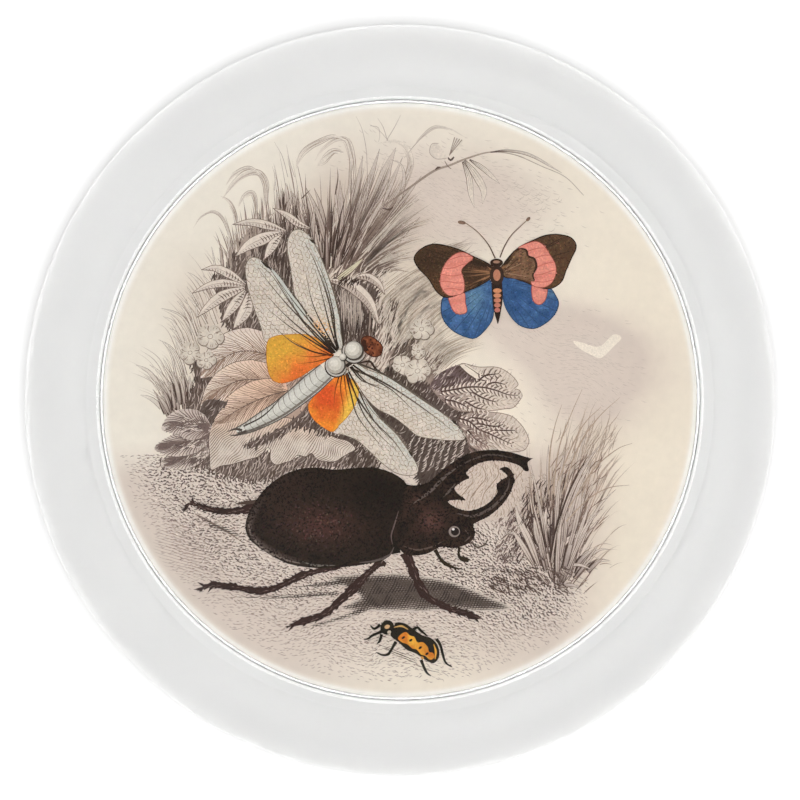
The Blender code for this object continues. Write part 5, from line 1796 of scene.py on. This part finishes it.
SMALL_BODY = [(-1.0, -33.9), (-0.6, -33.0), (0.7, -33.1), (1.9, -33.9), (3.2, -34.8), (4.6, -35.3),
              (5.6, -36.4), (5.8, -38.0), (5.0, -39.0), (3.9, -38.6), (2.4, -37.6), (1.0, -37.0),
              (-0.2, -35.9), (-1.4, -34.9)]
SMALL_BAND = [(-0.3, -35.3), (0.3, -34.6), (0.9, -34.4), (1.5, -34.9), (2.1, -35.1), (2.6, -35.9),
              (3.4, -35.9), (4.1, -36.6), (4.3, -37.3), (4.9, -37.5), (5.1, -38.1), (4.5, -38.5),
              (3.7, -37.9), (3.1, -37.7), (2.5, -37.0), (1.8, -36.8), (1.1, -36.2), (0.3, -35.9)]
SMALL_LEGS = (
    [(-2.7, -34.3), (-4.1, -34.9), (-4.6, -35.3), (-5.3, -35.5)],
    [(-2.9, -33.3), (-3.8, -33.9), (-4.4, -33.4)],
    [(-2.7, -34.7), (-3.0, -35.7), (-3.4, -36.1)],
    [(-0.6, -35.8), (-1.4, -37.2), (-1.8, -37.7), (-2.6, -37.8), (-3.5, -37.4)],
    [(3.1, -38.5), (3.9, -40.3), (4.6, -40.9)],
    [(5.4, -35.4), (6.0, -36.4), (6.7, -38.8), (7.7, -39.5)],
    [(2.0, -34.0), (2.6, -33.7), (3.1, -34.2), (4.1, -35.0)],
)


def draw_small_beetle():
    black = (40, 34, 26)
    shade = smooth([(-4.6, -35.8), (0, -36.8), (3.5, -39.3), (6.2, -39.8), (5.0, -40.6), (1.5, -39.2),
                    (-2, -37.4)], True)
    lift()
    hatch(cast_lines, rows(-5, -41, 7, -35, 0.3, -20, 0.2, 1.0, 0.2), 0.3,
          lambda x, y: 0.5 * within_softly(shade, x, y, 0.8), (112, 98, 92), 0.05)
    lift()
    for path in SMALL_LEGS:
        limb(small_black, path, (0.5, 0.38, 0.4, 0.3, 0.15), black)
    small_black.fill(smooth(SMALL_BODY, True, 0.2), black)
    small_black.fill(ellipse(-1.9, -33.7, 1.0, 1.1, -30), black)
    lift()

    def gold(x, y):
        return mix((232, 172, 62), (206, 118, 40), 1.3 * noise(x, y, 0.8) - 0.2 + 0.5 * (x > 4.2))

    small_gold.fill(smooth(SMALL_BAND, True, 0.15), gold, 0.2)
    small_gold.stroke(smooth([(-0.9, -33.7), (0.2, -33.5), (1.2, -34.0)]), (0.1, 0.3, 0.1), (206, 164, 96))
    small_gold.stroke(smooth([(5.0, -36.2), (5.3, -37.2), (5.2, -38.4)]), (0.1, 0.34, 0.1), (222, 160, 62))
    small_gold.fill(ellipse(-1.9, -33.6, 0.42, 0.3, 20, 12), (206, 168, 122))
    small_gold.fill(ellipse(-1.6, -34.4, 0.3, 0.24, 20, 12), (206, 190, 170))
    small_gold.fill(ellipse(3.3, -38.2, 0.28, 0.2, -30, 10), (206, 150, 80))
    lift()
    for x, y in ((1.6, -35.6), (3.0, -36.7), (4.0, -37.6), (0.5, -35.2)):
        small_black.fill(ellipse(x, y, 0.3, 0.17, 35, 10), black)


# ---------------------------------------------------------------- the paper


SKY_TINTS = ((0.9, 5, 29, 16, 9, -10), (0.3, 15, 31, 9, 6, -25), (1.4, 25, 8.5, 13, 5.6, -16),
             (1.3, 28, 3, 8.6, 7.4, -30),
             (0.3, 16, 12, 12, 5, -20))
GRASS_TINTS = ((0.9, 3, 15, 11, 9, 30), (0.7, -12, 22, 11, 11), (0.55, -27, 6, 9, 15))
SHADE_TINTS = ((0.85, -9, 27, 6, 8, -8), (0.6, -28, 12, 5.5, 9, 20), (0.5, 0, 24, 6, 5, 20),
               (0.5, 22, -17, 5, 7, -20))


def paper_colour(x, y):
    """The printed paper's bare colour and its broad flat tints, at seen points."""
    radius = np.hypot(x, y)
    colour = mix(CREAM, CREAM_WARM, (x - 0.35 * y + 26) / 62)
    sky = patches(x, y, SKY_TINTS) * (1.1 + 0.4 * noise(x * 0.7 + y, y * 1.3, 3.0))
    grass = patches(x, y, GRASS_TINTS)
    ground = np.clip((-6 - y) / 6, 0, 1) * np.clip((45.4 - radius) / 3, 0, 1)
    ground = ground * np.clip((33 - x) / 10, 0, 1) * 0.9
    ground = ground * (1 - 0.9 * blob(x, y, 3, -42, 18, 7)) + 0.6 * blob(x, y, 23, -14, 8, 12)
    colour = mix(colour, TONE_PINK, np.clip(sky + ground, 0, 0.95))
    colour = mix(colour, TONE_TAN, np.clip(grass, 0, 0.9) * (1 - 0.6 * np.clip(sky + ground, 0, 1)))
    colour = mix(colour, WASH, np.clip(patches(x, y, SHADE_TINTS), 0, 0.8))
    # past PRINT_EDGE the paper is drawn whiter, a narrow pale band at its rim
    return mix(colour, CREAM_WHITE, 0.75 * np.clip((radius - PRINT_EDGE + 0.9) / 0.3, 0, 1))


def make_paper(material):
    """The paper disc, fine enough for its tints. It almost meets the recess wall, so no gap shows."""
    rings, turns = PAPER_RINGS, PAPER_TURNS
    grid = np.linspace(0, 60, 600)
    edge = float(np.interp(RECESS_RADIUS - PRINT_GAP, paper_radius(grid), grid))
    seen = np.linspace(0, edge, rings + 1)[1:]
    angle = np.linspace(0, 2 * math.pi, turns, endpoint=False)
    x, y = np.outer(seen, np.cos(angle)).ravel(), np.outer(seen, np.sin(angle)).ravel()
    flat = to_paper(np.column_stack([x, y]))
    rim = flat[-turns:]
    top = np.column_stack([flat, np.full(len(flat), PAPER_TOP)])
    under = np.column_stack([rim, np.full(turns, PAPER_LOW.z)])
    points = np.vstack([(0, 0, PAPER_TOP), top, under, (0, 0, PAPER_LOW.z)]) * MM
    faces = []
    for k in range(turns):
        after = (k + 1) % turns
        faces.append((0, 1 + k, 1 + after))
        faces.append((len(points) - 1, 1 + rings * turns + after, 1 + rings * turns + k))
        for ring in range(rings):
            inner, outer = 1 + ring * turns, 1 + (ring + 1) * turns
            faces.append((inner + k, outer + k, outer + after, inner + after))
    mesh = bpy.data.meshes.new("paper_disc")
    mesh.from_pydata(points, [], faces)
    shades = np.ones((len(points), 4))
    shades[:, :3] = linear(CREAM)
    shades[0, :3] = linear(paper_colour(np.zeros(1), np.zeros(1))[0])
    shades[1 : 1 + len(flat), :3] = linear(paper_colour(x, y))
    mesh.color_attributes.new("pigment", "FLOAT_COLOR", "POINT").data.foreach_set("color", shades.ravel())
    mesh.materials.append(material)
    piece = place("paper_disc", mesh, "cream_paper")
    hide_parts("printed_paper")


# ---------------------------------------------------------------- the glass and the felt


def arc(centre_r, centre_z, radius, start, end, steps):
    """Points along an arc of the half section, both ends included."""
    angles = np.linspace(start, end, steps + 1)
    return [(centre_r + radius * math.cos(a), centre_z + radius * math.sin(a)) for a in angles]


def turned(name, profile, turns, crease_degrees):
    """A mesh of revolution about Z from a half section in millimetres."""
    shape = bmesh.new()
    points = [shape.verts.new((r * MM, 0.0, z * MM)) for r, z in profile]
    edges = [shape.edges.new(pair) for pair in zip(points, points[1:])]
    bmesh.ops.spin(shape, geom=points + edges, cent=(0, 0, 0), axis=(0, 0, 1), angle=2 * math.pi,
                   steps=turns, use_merge=True)
    bmesh.ops.remove_doubles(shape, verts=shape.verts, dist=0.0001 * MM)
    bmesh.ops.recalc_face_normals(shape, faces=shape.faces)
    mesh = bpy.data.meshes.new(name)
    shape.to_mesh(mesh)
    shape.free()
    mesh.shade_smooth()
    mesh.set_sharp_from_angle(angle=math.radians(crease_degrees))
    return mesh


def make_glass(material):
    """The dome at full smoothness, down to the paper's face, which the clear glue wets."""
    ceiling = PAPER_TOP - GLUE_DEPTH
    meet = math.atan2(GIRTH_Z - CROWN_CENTRE_Z, SHOULDER_R)
    corner_r, corner_z = GIRTH_RADIUS - FOOT_CORNER_RADIUS, FOOT_Z + FOOT_CORNER_RADIUS
    profile = arc(0, CROWN_CENTRE_Z, CROWN_RADIUS, math.pi / 2, meet, 60)
    profile += arc(SHOULDER_R, GIRTH_Z, SHOULDER_RADIUS, meet, 0, 40)[1:]
    profile += arc(corner_r, corner_z, FOOT_CORNER_RADIUS, 0, -math.pi / 2, 16)
    profile += [(RECESS_RADIUS + RECESS_CHAMFER, FOOT_Z), (RECESS_RADIUS, FOOT_Z + RECESS_CHAMFER)]
    profile += arc(RECESS_RADIUS - RECESS_FILLET, ceiling - RECESS_FILLET, RECESS_FILLET, 0, math.pi / 2, 6)
    profile += [(0, ceiling)]
    mesh = turned("dome_glass", profile, GLASS_TURNS, CREASE_DEGREES)
    mesh.materials.append(material)
    piece = place("dome_glass", mesh, "clear_glass")
    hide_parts("glass_dome")


# ---------------------------------------------------------------- materials


def new_material(name):
    """A material with its node tree's parts at hand."""
    material = bpy.data.materials.new(name)
    material.use_nodes = True
    tree = material.node_tree
    return material, tree.nodes, tree.links, tree.nodes["Principled BSDF"]


def noise_node(nodes, links, scale, detail=3.0, roughness=0.55):
    """A noise texture over the piece's own space."""
    place_node = nodes.new("ShaderNodeTexCoord")
    texture = nodes.new("ShaderNodeTexNoise")
    texture.inputs["Scale"].default_value = scale
    texture.inputs["Detail"].default_value = detail
    texture.inputs["Roughness"].default_value = roughness
    links.new(place_node.outputs["Object"], texture.inputs["Vector"])
    return texture


def ramp_node(nodes, links, source, stops):
    """A colour ramp of grey levels: stops are (place, value)."""
    ramp = nodes.new("ShaderNodeValToRGB")
    elements = ramp.color_ramp.elements
    while len(elements) < len(stops):
        elements.new(0.5)
    for element, (position, value) in zip(elements, stops):
        element.position = position
        element.color = (value, value, value, 1)
    links.new(source, ramp.inputs["Fac"])
    return ramp


def multiply_node(nodes, links, first, second):
    """The product of two colours."""
    mixer = nodes.new("ShaderNodeMix")
    mixer.data_type = "RGBA"
    mixer.blend_type = "MULTIPLY"
    mixer.inputs["Factor"].default_value = 1.0
    links.new(first, mixer.inputs["A"])
    links.new(second, mixer.inputs["B"])
    return mixer.outputs["Result"]


def printed_material(name, grain_scale, grain, roughness):
    """Pigment on paper: its own colour, broken up by the paper's grain."""
    material, nodes, links, shader = new_material(name)
    pigment = nodes.new("ShaderNodeAttribute")
    pigment.attribute_name = "pigment"
    fine = ramp_node(nodes, links, noise_node(nodes, links, grain_scale).outputs["Fac"],
                     ((0.3, 1 - grain), (0.7, 1 + grain * 0.4)))
    broad = ramp_node(nodes, links, noise_node(nodes, links, grain_scale / 6).outputs["Fac"],
                      ((0.3, 1 - grain * 0.6), (0.7, 1.0)))
    shade = multiply_node(nodes, links, pigment.outputs["Color"], fine.outputs["Color"])
    shade = multiply_node(nodes, links, shade, broad.outputs["Color"])
    links.new(shade, shader.inputs["Base Color"])
    shader.inputs["Roughness"].default_value = roughness
    shader.inputs["Specular IOR Level"].default_value = 0.0
    return material


def glass_material():
    material, nodes, links, shader = new_material("clear_glass")
    shader.inputs["Base Color"].default_value = (1, 1, 1, 1)
    shader.inputs["Roughness"].default_value = 0.0
    shader.inputs["Transmission Weight"].default_value = 1.0
    shader.inputs["IOR"].default_value = GLASS_IOR
    absorb = nodes.new("ShaderNodeVolumeAbsorption")
    absorb.inputs["Color"].default_value = GLASS_TINT
    absorb.inputs["Density"].default_value = GLASS_DENSITY
    links.new(absorb.outputs["Volume"], nodes["Material Output"].inputs["Volume"])
    return material


def felt_material():
    material, nodes, links, shader = new_material("felt_fibres")
    fine = noise_node(nodes, links, 2600, 5.0, 0.7)
    cloud = noise_node(nodes, links, 160, 3.0)
    colour = nodes.new("ShaderNodeValToRGB")
    colour.color_ramp.elements[0].color = (0.012, 0.016, 0.013, 1)
    colour.color_ramp.elements[1].color = (0.045, 0.055, 0.047, 1)
    links.new(fine.outputs["Fac"], colour.inputs["Fac"])
    patch = ramp_node(nodes, links, cloud.outputs["Fac"], ((0.3, 0.75), (0.7, 1.15)))
    links.new(multiply_node(nodes, links, colour.outputs["Color"], patch.outputs["Color"]),
              shader.inputs["Base Color"])
    shader.inputs["Roughness"].default_value = 0.95
    shader.inputs["Sheen Weight"].default_value = 0.4
    bump = nodes.new("ShaderNodeBump")
    bump.inputs["Strength"].default_value = 0.6
    bump.inputs["Distance"].default_value = 0.0003
    links.new(fine.outputs["Fac"], bump.inputs["Height"])
    links.new(bump.outputs["Normal"], shader.inputs["Normal"])
    return material


# ---------------------------------------------------------------- studio


def make_floor():
    """The pale floor that the dome stands on."""
    corners = [(x * FLOOR_REACH, y * FLOOR_REACH, 0) for x, y in ((-1, -1), (1, -1), (1, 1), (-1, 1))]
    mesh = bpy.data.meshes.new("floor")
    mesh.from_pydata(corners, [], [(0, 1, 2, 3)])
    floor = bpy.data.objects.new("floor", mesh)
    bpy.context.scene.collection.objects.link(floor)
    material, nodes, links, shader = new_material("pale_floor")
    shade = ramp_node(nodes, links, noise_node(nodes, links, 40).outputs["Fac"], ((0.3, 0.53), (0.7, 0.54)))
    links.new(shade.outputs["Color"], shader.inputs["Base Color"])
    shader.inputs["Roughness"].default_value = 0.9
    mesh.materials.append(material)


def make_world():
    """A dim studio ceiling that brightens towards the horizon."""
    world = bpy.data.worlds.new("studio")
    bpy.context.scene.world = world
    world.use_nodes = True
    nodes, links = world.node_tree.nodes, world.node_tree.links
    direction = nodes.new("ShaderNodeTexCoord")
    split = nodes.new("ShaderNodeSeparateXYZ")
    links.new(direction.outputs["Generated"], split.inputs["Vector"])
    ramp = ramp_node(nodes, links, split.outputs["Z"], ((0.0, 1.0), (0.16, 0.62), (0.34, 0.28), (1.0, 0.13)))
    background = nodes["Background"]
    links.new(ramp.outputs["Color"], background.inputs["Color"])
    background.inputs["Strength"].default_value = WORLD_STRENGTH


def softbox(name, place_at, aim, size, power):
    """A large soft round light that the glass doesn't mirror."""
    lamp = bpy.data.lights.new(name, "AREA")
    lamp.shape = "DISK"
    lamp.size = size
    lamp.energy = power
    light = bpy.data.objects.new(name, lamp)
    light.location = place_at
    light.rotation_euler = (Vector(aim) - Vector(place_at)).to_track_quat("-Z", "Y").to_euler()
    light.visible_glossy = False
    bpy.context.scene.collection.objects.link(light)


def make_camera():
    """Straight above, at the height that shows the dome at its size in the frame."""
    lens = bpy.data.cameras.new("camera")
    lens.lens = CAMERA_LENS
    lens.sensor_width = SENSOR
    lens.clip_start = 0.01
    camera = bpy.data.objects.new("camera", lens)
    camera.location = (0, 0, EYE_Z * MM)
    bpy.context.scene.collection.objects.link(camera)
    bpy.context.scene.camera = camera


make_camera()
make_floor()
make_world()
softbox("overhead_light", LIGHT_PLACE, (0, 0, 0), LIGHT_SIZE, LIGHT_POWER)
bpy.context.scene.view_settings.view_transform = "Standard"

draw_sky()
draw_gull()
draw_ground()
draw_far_wisps()
draw_top_grass()
draw_middle_field()
draw_twig()
draw_star_leaves()
draw_left_leaves()
draw_centre_leaves()
draw_small_flowers()
draw_right_leaves()
draw_right_grass()
draw_horn_backing()
draw_cast_shadows()
draw_butterfly()
draw_dragonfly()
draw_horned_beetle()
draw_small_beetle()

engraving = printed_material("engraving_ink", 5200, 0.22, 0.6)
watercolour = printed_material("watercolour", 4200, 0.16, 0.75)
paper_stock = printed_material("paper_stock", 900, 0.03, 0.8)
for plate in Plate.made:
    plate.press(engraving if plate.slot == "engraving_ink" else watercolour)
make_paper(paper_stock)
make_glass(glass_material())
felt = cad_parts["felt_pad"]
felt.data.materials.clear()
felt.data.materials.append(felt_material())

bpy.context.view_layer.update()
